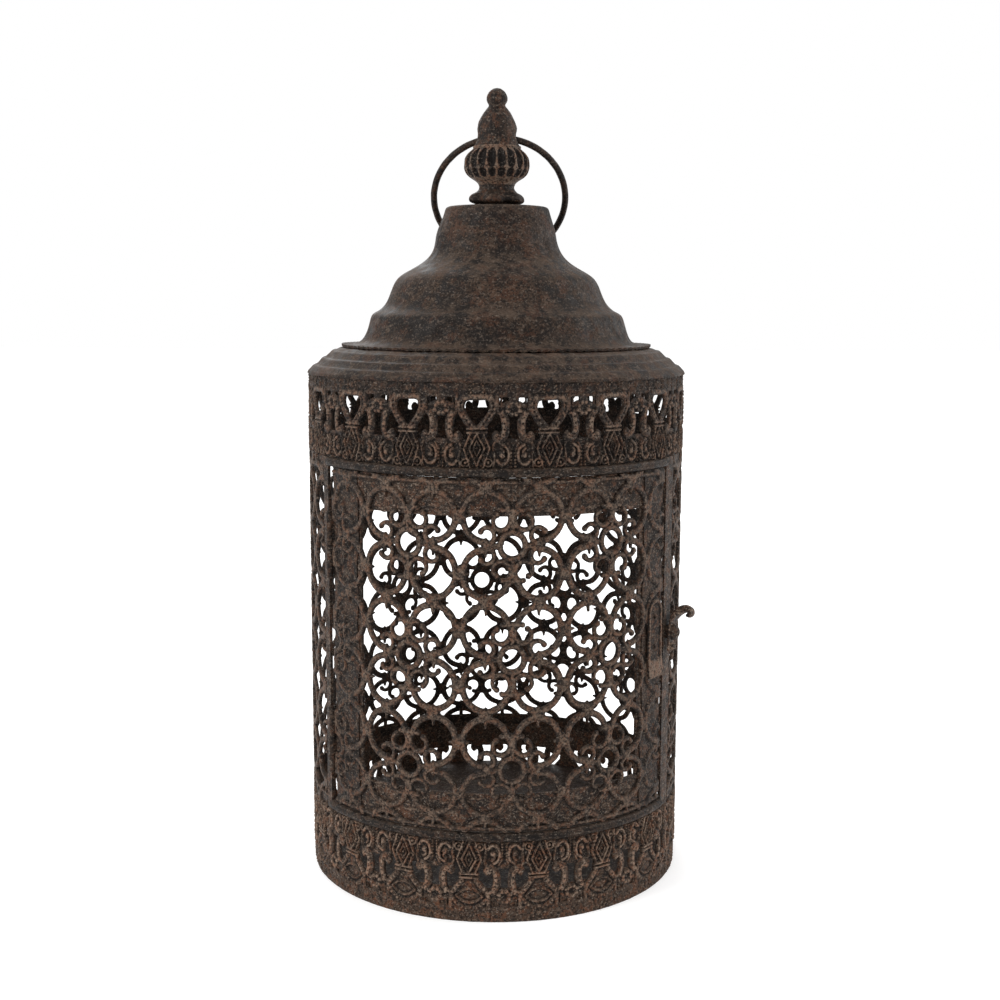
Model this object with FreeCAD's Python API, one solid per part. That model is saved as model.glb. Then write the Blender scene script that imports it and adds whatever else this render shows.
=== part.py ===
"""Moroccan metal lantern: a pierced sheet-iron drum on a raised pan, with a hinged door and a turn latch
at the front, a stepped spun roof, a cast finial and a hanging ring.

Millimetres.  +Z is up, the origin is the centre of the base on the surface it stands on, and the door
faces -Y.  An azimuth is measured in degrees from -Y towards +X, seen from above.
"""
import FreeCAD
import Part
import math
import os

os.makedirs("parts", exist_ok=True)
Vector = FreeCAD.Vector
UP = Vector(0, 0, 1)
CENTRE = Vector(0, 0, 0)

# ---- Driving dimensions ----
DRUM_RADIUS = 80.0            # outside of the pierced walls
SHEET = 1.2                   # thickness of the embossed, pierced sheet
PLAIN_SHEET = 1.0             # thickness of the plain sheet of pan, roof and door frame
FRIEZE_HEIGHT = 33.3          # each of the two pierced bands
FRIEZE_RELIEF = 0.5           # how far the bands stand proud of the walls
BEAD_HEIGHT = 3.6             # the raised beads above and below the door
BEAD_PROUD = 1.3
OPENING_HEIGHT = 140.6        # clear height between the two beads
TOTAL_HEIGHT = 332.0

# The wall pattern: rings that touch, on a grid wrapped around the drum
RING_COLUMNS = 24
RING_ROWS = 6
COLUMN_ZERO = 5.0             # azimuth of one line between two columns
ROW_PITCH = 22.3
RING_BAND = 2.7               # width of a ring's metal
SMALL_RING_HOLE = 3.5         # radius of the hole in a small ring
STAR_REACH = (0.74, 0.48)     # of a star's points and hollows, as shares of half a ring's size

# The pattern of the two bands: one unit is a heart, two scroll eyes and the gap to the next unit
FRIEZE_UNITS = 18
HEART_DEPTH = 22.5            # from the door's side of the band to the heart's middle
SCROLL_DEPTH = 16.8
SCROLL_SHIFT = 0.24           # of a scroll eye from the unit's middle, as a share of the unit
SCROLL_EYE = (1.6, 2.7)       # half width and half height
GAP_DEPTH = 17.5
GAP_OVAL = (1.7, 4.2)
TOP_UNIT_ZERO = -5.0          # azimuth of one diamond of the top band
BOTTOM_UNIT_ZERO = -7.0       # azimuth of one diamond of the bottom band

# The doorway and the door
HINGE_AZIMUTH = -56.6
HINGE_RADIUS = 80.4           # distance of the hinge axis from the drum's axis
JAMB_LEFT = (-61.0, -57.9)
JAMB_RIGHT = (60.4, 66.0)
DOOR_AZIMUTHS = (-55.4, 59.3)
DOOR_GAP = 0.3                # above and below the door
DOOR_LINES = (-4, 3)          # the grid lines between which the door is pierced
SIDE_LINES = (-4, -10, 9, 4)  # the grid lines where the left, rear and right walls meet, from the left jamb
STILE_INNER = (-42.3, 46.8)   # inner edges of the door's hinge stile and latch stile
RAIL_EDGES = (52.5, 162.5)    # inner edges of the door's bottom rail and top rail

# The hinges
BARREL_RADIUS = 1.4
PIN_RADIUS = 0.7
PIN_CLEARANCE = 0.05
KNUCKLES = 4
KNUCKLE_GAP = 0.25
HINGE_SPANS = {"lower": (50.3, 77.3), "upper": (131.8, 158.8)}
LEAF = 0.8
LEAF_DEGREES = {"drum": 4.3, "door": 7.0}   # how far each leaf reaches from the hinge axis
WEB_DEGREES = (0.6, 1.05)     # the web that joins a leaf to its knuckles, from the hinge axis
RIVET_RADIUS = 1.0
RIVET_INSET = 5.0             # from the ends of a leaf
PIN_HEAD = (1.1, 0.7)         # radius and thickness

# The latch
LATCH_AZIMUTH = 63.6
LATCH_HEIGHT = 107.9
LATCH_SPACER = 1.2
LATCH_SPACER_RADIUS = 3.0
LATCH_CLEARANCE = 0.1         # on each side of the lever
PIVOT_RADIUS = 1.5
PIVOT_CLEARANCE = 0.06
PIVOT_HEAD_BALL = 3.4         # radius of the ball that rounds the pivot's head
PIVOT_HEAD_SINK = 0.6         # how far that ball's middle lies below the head's seat
PIVOT_TAIL = (2.4, 1.3)       # radius and thickness of the riveted tail behind the jamb
LEVER_THICKNESS = 1.2
LEVER_EYE_RADIUS = 3.6
LEVER_NOSE = 8.4              # from the pivot to the end of the nose
LEVER_LEAN = 16.0             # degrees by which the nose points towards the door at rest
TAB_WIDTH = 5.0
TAB_FOOT = 4.8                # height over the pivot at which the tab starts to bend
TAB_BEND = 6.4                # radius of the bend that turns the thumb tab outward
TAB_SCROLL = 1.8
STRIKE_SHEET = 0.7
STRIKE_LIP = 0.9              # thickness of the folded lip on top of the strike's sheet
STRIKE_RIVET_HEIGHTS = (104.0, 116.5)
STRIKE_AZIMUTHS = (50.6, 58.4)
STRIKE_HEIGHTS = (91.5, 121.0)
STRIKE_FOLD = 99.0            # height at which the strike's lower end is folded out

# The base, the roof and the finial
BAND_SHORTER = 1.0            # the upper band is this much lower than the bottom one
FLOOR_TOP = 14.0
PAN_HEM = 5.0
CAP_TOP = 283.2
DOME_FLANGE_TOP = 225.3
DOME_FLANGE_RADIUS = 66.0
SHOULDER_INNER_RADIUS = 57.5
STUD_RADIUS = 2.0
STUD_DEPTH = 16.0             # of the stud in the finial
STUD_TAIL = 6.0               # of the stud below the cap
NUT_HEIGHT = 3.2
NUT_CORNER = 4.05
WASHER = 0.8
WASHER_RADIUS = 5.0
EYE_HEIGHT = 311.5            # the cross hole in the finial that carries the ring
EYE_RADII = (2.0, 3.9)         # in the middle and at the worn mouths
EYE_REACH = 9.5

# The hanging ring
RING_WIRE_RADIUS = 1.45
RING_RADIUS = 28.4            # centre line
RING_LEAN = 32.2              # degrees back from hanging straight down
RING_TURN = 2.4               # degrees about the eye, within its own plane, so that it lies off centre

# How far a cutting tool runs past the metal that it cuts
SPARE = 2.0

# ---- Worked out from the driving dimensions ----
WALL_INSIDE = DRUM_RADIUS - SHEET
FRIEZE_OUTSIDE = DRUM_RADIUS + FRIEZE_RELIEF
SILL_TOP = FRIEZE_HEIGHT + BEAD_HEIGHT
LINTEL_BOTTOM = SILL_TOP + OPENING_HEIGHT
WALL_TOP = LINTEL_BOTTOM + BEAD_HEIGHT
FRIEZE_TOP = WALL_TOP + FRIEZE_HEIGHT - BAND_SHORTER
DOOR_HEIGHTS = (SILL_TOP + DOOR_GAP, LINTEL_BOTTOM - DOOR_GAP)
COLUMN_STEP = 360.0 / RING_COLUMNS
RING_HALF_WIDTH = math.pi * DRUM_RADIUS / RING_COLUMNS
RING_HALF_HEIGHT = ROW_PITCH / 2
RING_MIDDLE = (SILL_TOP + LINTEL_BOTTOM) / 2
FIRST_ROW = RING_MIDDLE - (RING_ROWS - 1) * ROW_PITCH / 2
FRAME_INSIDE = WALL_INSIDE - PLAIN_SHEET
SHOULDER_TOP = DOME_FLANGE_TOP - PLAIN_SHEET
STRIKE_FRONT = DRUM_RADIUS + STRIKE_SHEET
STRIKE_MIDDLE = (STRIKE_AZIMUTHS[0] + STRIKE_AZIMUTHS[1]) / 2
LEVER_BACK = DRUM_RADIUS + LATCH_SPACER + LATCH_CLEARANCE
LEVER_FRONT = LEVER_BACK + LEVER_THICKNESS


def outward(azimuth):
    """Unit vector away from the drum's axis at an azimuth."""
    angle = math.radians(azimuth)
    return Vector(math.sin(angle), -math.cos(angle), 0)


def sideways(azimuth):
    """Unit vector along the wall at an azimuth, towards a larger azimuth."""
    angle = math.radians(azimuth)
    return Vector(math.cos(angle), math.sin(angle), 0)


def on_wall(radius, azimuth, height):
    return outward(azimuth) * radius + UP * height


def local_point(azimuth, radius, height, across=0.0, out=0.0, up=0.0):
    """A point stated in the flat frame that touches the wall at one place."""
    return on_wall(radius + out, azimuth, height + up) + sideways(azimuth) * across


def face_of(points):
    return Part.Face(Part.makePolygon(points + [points[0]]))


def turned(profile, start=0.0, sweep=360.0):
    """Turn a closed profile of (radius, height) points about the drum's axis."""
    points = [on_wall(radius, start, height) for radius, height in profile]
    return face_of(points).revolve(CENTRE, UP, sweep)


def curved_plate(inside, outside, azimuths, heights):
    low, high = heights
    profile = [(inside, low), (outside, low), (outside, high), (inside, high)]
    return turned(profile, azimuths[0], azimuths[1] - azimuths[0])


def hoop(inside, outside, low, high):
    return curved_plate(inside, outside, (0.0, 360.0), (low, high))


def radial_rod(radius, azimuth, height, start, end):
    """A round rod that points straight away from the drum's axis."""
    return Part.makeCylinder(radius, end - start, on_wall(start, azimuth, height), outward(azimuth))


def radial_prism(outline, azimuth, height, start, end):
    """An outline of (across, up) points, pushed straight outward."""
    points = [local_point(azimuth, start, height, across, 0, up) for across, up in outline]
    return face_of(points).extrude(outward(azimuth) * (end - start))


def oval_outline(half_width, half_height, corners=18):
    steps = [2 * math.pi * step / corners for step in range(corners)]
    return [(half_width * math.cos(step), half_height * math.sin(step)) for step in steps]


def star_outline(half_width, half_height):
    """A star with four points and hollow sides, left between four touching rings."""
    points = []
    for step in range(8):
        angle = math.pi * step / 4
        reach = STAR_REACH[step % 2]
        points.append((reach * half_width * math.cos(angle), reach * half_height * math.sin(angle)))
    return points


# ---- The pierced walls ----
def line_azimuth(line):
    return COLUMN_ZERO + COLUMN_STEP * line


def has_small_ring(line, row):
    """Small rings stand on every second line, at the first, third and fifth gap between rows."""
    return line % 2 == 0 and row % 2 == 0


def lattice_holes(first_line, last_line):
    """Cutting tools for the pattern between two lines of the grid."""
    inside, outside = WALL_INSIDE - SPARE, DRUM_RADIUS + SPARE
    ring = oval_outline(RING_HALF_WIDTH - RING_BAND, RING_HALF_HEIGHT - RING_BAND)
    star = star_outline(RING_HALF_WIDTH, RING_HALF_HEIGHT)
    tools = []
    for line in range(first_line, last_line):
        middle = line_azimuth(line + 0.5)
        for row in range(RING_ROWS):
            height = FIRST_ROW + row * ROW_PITCH
            tools.append(radial_prism(ring, middle, height, inside, outside))
    for line in range(first_line + 1, last_line):
        azimuth = line_azimuth(line)
        for row in range(RING_ROWS - 1):
            height = FIRST_ROW + (row + 0.5) * ROW_PITCH
            if has_small_ring(line, row):
                tools.append(radial_rod(SMALL_RING_HOLE, azimuth, height, inside, outside))
            else:
                tools.append(radial_prism(star, azimuth, height, inside, outside))
    return tools


def lattice_panel(azimuths, heights, first_line, last_line):
    plate = curved_plate(WALL_INSIDE, DRUM_RADIUS, azimuths, heights)
    return plate.cut(lattice_holes(first_line, last_line))


def side_wall(first_line, last_line, azimuths=None):
    if azimuths is None:
        azimuths = (line_azimuth(first_line), line_azimuth(last_line))
    return lattice_panel(azimuths, (FRIEZE_HEIGHT, WALL_TOP), first_line, last_line)


def frieze(bottom, top, unit_zero, towards_door):
    """A pierced band; towards_door is +1 if the door side is its upper edge, -1 if its lower edge."""
    inside, outside = WALL_INSIDE - SPARE, FRIEZE_OUTSIDE + SPARE
    door_edge = top if towards_door > 0 else bottom
    step = 360.0 / FRIEZE_UNITS
    half_heart = [(2.9, 1.2), (3.6, -0.8), (2.4, -3.2)]
    heart = [(0, 3.6)] + half_heart + [(0, -4.2)] + [(-across, up) for across, up in half_heart[::-1]]
    heart = [(across, up * towards_door) for across, up in heart]
    scroll = oval_outline(*SCROLL_EYE)
    gap = oval_outline(*GAP_OVAL)
    tools = []
    for unit in range(FRIEZE_UNITS):
        azimuth = unit_zero + step * unit
        for outline, turn, depth in (
            (heart, 0.0, HEART_DEPTH),
            (scroll, -SCROLL_SHIFT, SCROLL_DEPTH),
            (scroll, SCROLL_SHIFT, SCROLL_DEPTH),
            (gap, 0.5, GAP_DEPTH),
        ):
            height = door_edge - towards_door * depth
            tools.append(radial_prism(outline, azimuth + turn * step, height, inside, outside))
    return hoop(WALL_INSIDE, FRIEZE_OUTSIDE, bottom, top).cut(tools)


def door_bead(heights):
    return curved_plate(WALL_INSIDE, DRUM_RADIUS + BEAD_PROUD, (JAMB_LEFT[1], JAMB_RIGHT[0]), heights)


def jamb(azimuths):
    return curved_plate(WALL_INSIDE, DRUM_RADIUS, azimuths, (FRIEZE_HEIGHT, WALL_TOP))


# ---- The base ----
def base_pan():
    """An upturned pan: a raised floor, a skirt and a turned-in hem that stands on the table."""
    outside = WALL_INSIDE
    skirt = outside - PLAIN_SHEET
    profile = [
        (0, FLOOR_TOP - PLAIN_SHEET),
        (skirt, FLOOR_TOP - PLAIN_SHEET),
        (skirt, PLAIN_SHEET),
        (skirt - PAN_HEM, PLAIN_SHEET),
        (skirt - PAN_HEM, 0),
        (outside, 0),
        (outside, FLOOR_TOP),
        (0, FLOOR_TOP),
    ]
    return turned(profile)


# ---- The roof ----
def roof_shoulder():
    """The sloping ring between the drum and the dome, with three shallow steps."""
    outer = [
        (FRIEZE_OUTSIDE, FRIEZE_TOP),
        (FRIEZE_OUTSIDE, FRIEZE_TOP + 0.8),
        (79.4, 215.6),
        (77.6, 216.9),
        (76.2, 217.3),
        (74.2, 219.6),
        (72.8, 220.0),
        (70.2, 222.6),
        (68.4, 223.2),
        (66.0, SHOULDER_TOP),
        (SHOULDER_INNER_RADIUS, SHOULDER_TOP),
    ]
    inner = [
        (SHOULDER_INNER_RADIUS, SHOULDER_TOP - PLAIN_SHEET),
        (65.6, SHOULDER_TOP - PLAIN_SHEET),
        (72.0, 219.0),
        (WALL_INSIDE, FRIEZE_TOP),
    ]
    return turned(outer + inner)


def dome_profile():
    """Outside of the dome from its flat top down to its flange, as (radius, height)."""
    return [
        (20.4, CAP_TOP),
        (21.8, CAP_TOP - 0.5),
        (22.4, CAP_TOP - 1.8),
        (25.3, 272.4),
        (26.6, 266.4),
        (28.4, 262.6),
        (31.6, 259.6),
        (36.4, 256.9),
        (40.4, 254.6),
        (43.0, 252.0),
        (44.6, 248.8),
        (46.4, 244.4),
        (48.8, 240.8),
        (51.8, 238.2),
        (54.2, 236.0),
        (55.6, 233.0),
        (56.9, 229.6),
        (58.2, 227.2),
        (60.4, 225.8),
    ]


def roof_dome():
    outside = dome_profile()
    edge = [
        (DOME_FLANGE_RADIUS, DOME_FLANGE_TOP),
        (DOME_FLANGE_RADIUS, SHOULDER_TOP),
        (59.6, SHOULDER_TOP),
    ]
    inside = []
    for index in range(len(outside) - 2, 2, -1):
        before, after = outside[index - 1], outside[index + 1]
        run, drop = after[0] - before[0], before[1] - after[1]
        length = math.hypot(run, drop)
        radius = outside[index][0] - PLAIN_SHEET * drop / length
        height = outside[index][1] - PLAIN_SHEET * run / length
        inside.append((radius, height))
    top = [(21.0, CAP_TOP - PLAIN_SHEET - 0.8), (20.2, CAP_TOP - PLAIN_SHEET)]
    hole = [(STUD_RADIUS, CAP_TOP - PLAIN_SHEET), (STUD_RADIUS, CAP_TOP)]
    return turned(outside + edge + inside + top + hole)


# ---- The finial and what holds it ----
def finial():
    """A cast knob: lobed foot, waist, round belly, bell and ball, with a cross hole for the ring."""
    outline = [
        (STUD_RADIUS, CAP_TOP),
        (7.9, CAP_TOP),
        (11.4, CAP_TOP + 0.8),
        (12.3, CAP_TOP + 2.2),
        (11.4, CAP_TOP + 3.6),
        (9.2, CAP_TOP + 5.0),
        (7.7, CAP_TOP + 7.0),
        (7.6, CAP_TOP + 8.8),
        (9.2, CAP_TOP + 10.8),
        (11.8, CAP_TOP + 12.9),
        (13.4, CAP_TOP + 15.6),
        (13.9, CAP_TOP + 18.4),
        (13.2, CAP_TOP + 21.0),
        (11.4, CAP_TOP + 23.0),
        (9.6, CAP_TOP + 24.2),
        (9.3, CAP_TOP + 27.0),
        (8.9, CAP_TOP + 30.4),
        (8.1, CAP_TOP + 33.8),
        (6.6, CAP_TOP + 37.2),
        (4.8, CAP_TOP + 40.0),
        (3.6, CAP_TOP + 41.6),
        (4.2, CAP_TOP + 43.0),
        (4.4, CAP_TOP + 44.6),
        (4.0, CAP_TOP + 46.6),
        (2.8, CAP_TOP + 48.2),
        (0, TOTAL_HEIGHT),
        (0, CAP_TOP + STUD_DEPTH),
        (STUD_RADIUS, CAP_TOP + STUD_DEPTH),
    ]
    eye = []
    for side in (-1, 1):
        middle, mouth = EYE_RADII
        eye.append(Part.makeCone(middle, mouth, EYE_REACH, UP * EYE_HEIGHT, Vector(side, 0, 0)))
    return turned(outline).cut(eye)


def finial_stud():
    bottom = CAP_TOP - PLAIN_SHEET - STUD_TAIL
    return Part.makeCylinder(STUD_RADIUS, CAP_TOP + STUD_DEPTH - bottom, UP * bottom)


def finial_washer():
    top = CAP_TOP - PLAIN_SHEET
    return hoop(STUD_RADIUS, WASHER_RADIUS, top - WASHER, top)


def finial_nut():
    top = CAP_TOP - PLAIN_SHEET - WASHER
    points = [on_wall(NUT_CORNER, 60 * corner, top - NUT_HEIGHT) for corner in range(6)]
    blank = face_of(points).extrude(UP * NUT_HEIGHT)
    return blank.cut(Part.makeCylinder(STUD_RADIUS, CAP_TOP))


def hanging_ring():
    """A closed ring of wire through the finial's eye, leaning back against the dome."""
    lean = math.radians(RING_LEAN)
    turn = math.radians(RING_TURN)
    down = Vector(0, math.sin(lean), -math.cos(lean))
    across = Vector(1, 0, 0)
    middle = UP * EYE_HEIGHT + (down * math.cos(turn) + across * math.sin(turn)) * RING_RADIUS
    return Part.makeTorus(RING_RADIUS, RING_WIRE_RADIUS, middle, down.cross(across))


# ---- The door ----
def door_lattice():
    """The pierced skin of the door.  Its last columns are backed by the latch stile and stay solid."""
    return lattice_panel(DOOR_AZIMUTHS, DOOR_HEIGHTS, DOOR_LINES[0], DOOR_LINES[1])


def door_rail(heights):
    return curved_plate(FRAME_INSIDE, WALL_INSIDE, DOOR_AZIMUTHS, heights)


def door_stile(azimuths):
    return curved_plate(FRAME_INSIDE, WALL_INSIDE, azimuths, RAIL_EDGES)


# ---- The hinges ----
def knuckle_heights(span, first):
    """Heights of every second knuckle of a barrel, from the given one."""
    low, high = span
    length = (high - low) / KNUCKLES
    half_gap = KNUCKLE_GAP / 2
    rows = []
    for knuckle in range(first, KNUCKLES, 2):
        bottom = low + knuckle * length
        rows.append((bottom + half_gap, bottom + length - half_gap))
    return rows


def hinge_leaf(span, owner):
    """A leaf behind the sheet, with every second knuckle; its owner is the drum or the door."""
    side = 1 if owner == "door" else -1
    outside = FRAME_INSIDE if owner == "door" else WALL_INSIDE
    first_knuckle = 1 if owner == "door" else 0
    near, web_end, far = (
        HINGE_AZIMUTH + side * WEB_DEGREES[0],
        HINGE_AZIMUTH + side * WEB_DEGREES[1],
        HINGE_AZIMUTH + side * LEAF_DEGREES[owner],
    )
    leaf = curved_plate(outside - LEAF, outside, sorted((near, far)), span)
    for low, high in knuckle_heights(span, first_knuckle):
        barrel = Part.makeCylinder(BARREL_RADIUS, high - low, on_wall(HINGE_RADIUS, HINGE_AZIMUTH, low))
        web = curved_plate(outside - LEAF, HINGE_RADIUS, sorted((near, web_end)), (low, high))
        leaf = leaf.fuse([web, barrel])
    bore = Part.makeCylinder(PIN_RADIUS + PIN_CLEARANCE, TOTAL_HEIGHT, on_wall(HINGE_RADIUS, HINGE_AZIMUTH, 0))
    return leaf.cut(bore).removeSplitter()


def hinge_pin(span):
    low, high = span
    shaft = Part.makeCylinder(PIN_RADIUS, high - low, on_wall(HINGE_RADIUS, HINGE_AZIMUTH, low))
    top = high - KNUCKLE_GAP / 2
    head = Part.makeCylinder(*PIN_HEAD, on_wall(HINGE_RADIUS, HINGE_AZIMUTH, top))
    return shaft.fuse(head).removeSplitter()


def rivet(azimuth, height, inside, outside):
    """A rivet through the sheet with a low domed head on the outside."""
    shank = radial_rod(RIVET_RADIUS * 0.6, azimuth, height, inside, outside)
    ball_radius = RIVET_RADIUS * 1.25
    ball = Part.makeSphere(ball_radius, on_wall(outside + RIVET_RADIUS * 0.5 - ball_radius, azimuth, height))
    keep = radial_rod(RIVET_RADIUS * 2, azimuth, height, outside, outside + RIVET_RADIUS * 2)
    return shank.fuse(ball.common(keep)).removeSplitter()


def leaf_rivets(owner):
    """Two rivets through each leaf of the drum or of the door."""
    side = 1 if owner == "door" else -1
    inside = FRAME_INSIDE - LEAF if owner == "door" else WALL_INSIDE - LEAF
    azimuth = HINGE_AZIMUTH + side * (LEAF_DEGREES[owner] + WEB_DEGREES[1]) / 2
    group = []
    for low, high in HINGE_SPANS.values():
        for height in (low + RIVET_INSET, high - RIVET_INSET):
            group.append(rivet(azimuth, height, inside, DRUM_RADIUS))
    return Part.makeCompound(group)


# ---- The latch ----
def latch_lever():
    """A flat lever: a round eye, a nose that hangs down and a thumb tab that curls outward at the top."""
    eye = radial_rod(LEVER_EYE_RADIUS, LATCH_AZIMUTH, LATCH_HEIGHT, LEVER_BACK, LEVER_FRONT)
    half_nose = [(3.4, 0.0), (2.9, -LEVER_NOSE * 0.6), (1.9, -LEVER_NOSE * 0.9)]
    outline = half_nose + [(0.0, -LEVER_NOSE)] + [(-across, up) for across, up in half_nose[::-1]]
    nose = radial_prism(outline, LATCH_AZIMUTH, LATCH_HEIGHT, LEVER_BACK, LEVER_FRONT)
    bore_radius = PIVOT_RADIUS + PIVOT_CLEARANCE
    bore = radial_rod(bore_radius, LATCH_AZIMUTH, LATCH_HEIGHT, LEVER_BACK - SPARE, LEVER_FRONT + SPARE)
    lever = eye.fuse([nose, thumb_tab()]).cut(bore).removeSplitter()
    lever.rotate(on_wall(DRUM_RADIUS, LATCH_AZIMUTH, LATCH_HEIGHT), outward(LATCH_AZIMUTH), -LEVER_LEAN)
    return lever


def tab_centre_line():
    """(out, up) points: up along the wall, around the outward bend, then around the scroll at the end."""
    middle = LEVER_THICKNESS / 2
    points = [(middle, 2.0)]
    for step in range(7):
        angle = math.radians(90 - 15 * step)
        points.append((middle + TAB_BEND * (1 - math.sin(angle)), TAB_FOOT + TAB_BEND * math.cos(angle)))
    out, up = points[-1]
    for step in range(1, 9):
        angle = math.radians(90 - 25 * step)
        points.append((out + TAB_SCROLL * math.cos(angle), up - TAB_SCROLL + TAB_SCROLL * math.sin(angle)))
    return points


def thumb_tab():
    centre_line = tab_centre_line()
    half = LEVER_THICKNESS / 2
    left, right = [], []
    for index, (out, up) in enumerate(centre_line):
        before = centre_line[max(index - 1, 0)]
        after = centre_line[min(index + 1, len(centre_line) - 1)]
        run, rise = after[0] - before[0], after[1] - before[1]
        length = math.hypot(run, rise)
        left.append((out - half * rise / length, up + half * run / length))
        right.append((out + half * rise / length, up - half * run / length))
    place = (LATCH_AZIMUTH, LEVER_BACK, LATCH_HEIGHT)
    points = [local_point(*place, -TAB_WIDTH / 2, out, up) for out, up in left + right[::-1]]
    return face_of(points).extrude(sideways(LATCH_AZIMUTH) * TAB_WIDTH)


def latch_washer():
    """The spacer that lifts the lever off the drum; its back is curved to the drum."""
    place = (LATCH_AZIMUTH, LATCH_HEIGHT, DRUM_RADIUS - SPARE, DRUM_RADIUS + LATCH_SPACER)
    disc = radial_rod(LATCH_SPACER_RADIUS, *place)
    return disc.cut(Part.makeCylinder(DRUM_RADIUS, TOTAL_HEIGHT))


def latch_pivot():
    """The lever's pivot: a shank through the jamb with a domed head over the lever."""
    place = (LATCH_AZIMUTH, LATCH_HEIGHT)
    head_seat = LEVER_FRONT + LATCH_CLEARANCE
    tail_radius, tail_thickness = PIVOT_TAIL
    tail_seat = WALL_INSIDE - LATCH_CLEARANCE
    shank = radial_rod(PIVOT_RADIUS, *place, tail_seat - tail_thickness / 2, head_seat)
    tail = radial_rod(tail_radius, *place, tail_seat - tail_thickness, tail_seat)
    ball = Part.makeSphere(PIVOT_HEAD_BALL, on_wall(head_seat - PIVOT_HEAD_SINK, *place))
    keep = radial_rod(2 * PIVOT_HEAD_BALL, *place, head_seat, head_seat + PIVOT_HEAD_BALL)
    return shank.fuse([tail, ball.common(keep)]).removeSplitter()


def strike_plate():
    """A plate on the door's latch stile; its lower end is doubled out as a lip for the lever's nose."""
    low, high = STRIKE_HEIGHTS
    half_width = math.radians(STRIKE_AZIMUTHS[1] - STRIKE_AZIMUTHS[0]) * DRUM_RADIUS / 2
    shoulder = high - half_width
    plate = curved_plate(DRUM_RADIUS, STRIKE_FRONT, STRIKE_AZIMUTHS, (low, shoulder))
    disc = radial_rod(half_width, STRIKE_MIDDLE, shoulder, DRUM_RADIUS - SPARE, STRIKE_FRONT + SPARE)
    arch = curved_plate(DRUM_RADIUS, STRIKE_FRONT, STRIKE_AZIMUTHS, (shoulder, high)).common(disc)
    lip = curved_plate(STRIKE_FRONT, STRIKE_FRONT + STRIKE_LIP, STRIKE_AZIMUTHS, (low, STRIKE_FOLD))
    return plate.fuse([arch, lip]).removeSplitter()


def strike_rivets():
    group = []
    for height in STRIKE_RIVET_HEIGHTS:
        group.append(rivet(STRIKE_MIDDLE, height, FRAME_INSIDE - 0.3, STRIKE_FRONT))
    return Part.makeCompound(group)


# ---- The assembly ----
def make_parts():
    left_line, rear_left_line, rear_right_line, right_line = SIDE_LINES
    parts = {
        "base_pan": base_pan(),
        "bottom_frieze": frieze(0, FRIEZE_HEIGHT, BOTTOM_UNIT_ZERO, 1),
        "top_frieze": frieze(WALL_TOP, FRIEZE_TOP, TOP_UNIT_ZERO, -1),
        "lattice_left": side_wall(rear_left_line, left_line, (line_azimuth(rear_left_line), JAMB_LEFT[0])),
        "lattice_rear": side_wall(rear_right_line - RING_COLUMNS, rear_left_line),
        "lattice_right": side_wall(right_line, rear_right_line, (JAMB_RIGHT[1], line_azimuth(rear_right_line))),
        "left_jamb": jamb(JAMB_LEFT),
        "right_jamb": jamb(JAMB_RIGHT),
        "door_sill": door_bead((FRIEZE_HEIGHT, SILL_TOP)),
        "door_lintel": door_bead((LINTEL_BOTTOM, WALL_TOP)),
        "roof_shoulder": roof_shoulder(),
        "roof_dome": roof_dome(),
        "finial": finial(),
        "finial_stud": finial_stud(),
        "finial_washer": finial_washer(),
        "finial_nut": finial_nut(),
        "hanging_ring": hanging_ring(),
        "jamb_rivets": leaf_rivets("drum"),
        "door_lattice": door_lattice(),
        "door_top_rail": door_rail((RAIL_EDGES[1], DOOR_HEIGHTS[1])),
        "door_bottom_rail": door_rail((DOOR_HEIGHTS[0], RAIL_EDGES[0])),
        "door_hinge_stile": door_stile((DOOR_AZIMUTHS[0], STILE_INNER[0])),
        "door_latch_stile": door_stile((STILE_INNER[1], DOOR_AZIMUTHS[1])),
        "door_hinge_rivets": leaf_rivets("door"),
        "strike_plate": strike_plate(),
        "strike_rivets": strike_rivets(),
        "latch_washer": latch_washer(),
        "latch_pivot": latch_pivot(),
        "latch_lever": latch_lever(),
    }
    for place, span in HINGE_SPANS.items():
        parts[place + "_hinge_jamb_leaf"] = hinge_leaf(span, "drum")
        parts[place + "_hinge_door_leaf"] = hinge_leaf(span, "door")
        parts[place + "_hinge_pin"] = hinge_pin(span)
    return parts


# Each fastener makes its own holes in the sheets that it joins
FASTENED = {
    "jamb_rivets": ["left_jamb", "lower_hinge_jamb_leaf", "upper_hinge_jamb_leaf"],
    "door_hinge_rivets": ["door_lattice", "door_hinge_stile", "lower_hinge_door_leaf", "upper_hinge_door_leaf"],
    "strike_rivets": ["strike_plate", "door_lattice", "door_latch_stile"],
    "latch_pivot": ["right_jamb", "latch_washer"],
}


def main():
    parts = make_parts()
    for fastener, sheets in FASTENED.items():
        for sheet in sheets:
            parts[sheet] = parts[sheet].cut(parts[fastener])
    for name, shape in parts.items():
        solids = len(shape.Solids)
        print(f"{name:26s} solids {solids}  volume {shape.Volume:10.1f}  valid {shape.isValid()}")
        shape.exportStep(f"parts/{name}.step")


main()
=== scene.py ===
"""The looks of a moroccan metal lantern: pierced and embossed iron with an antiqued, rusty, dusty paint.

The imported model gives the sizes.  Metres in the scene; the patterns are drawn in millimetres.
Azimuths are in degrees from -Y towards +X, as seen from above.
"""
import math

import bpy
import numpy as np
from mathutils import Matrix, Vector
from mathutils.geometry import delaunay_2d_cdt


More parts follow.
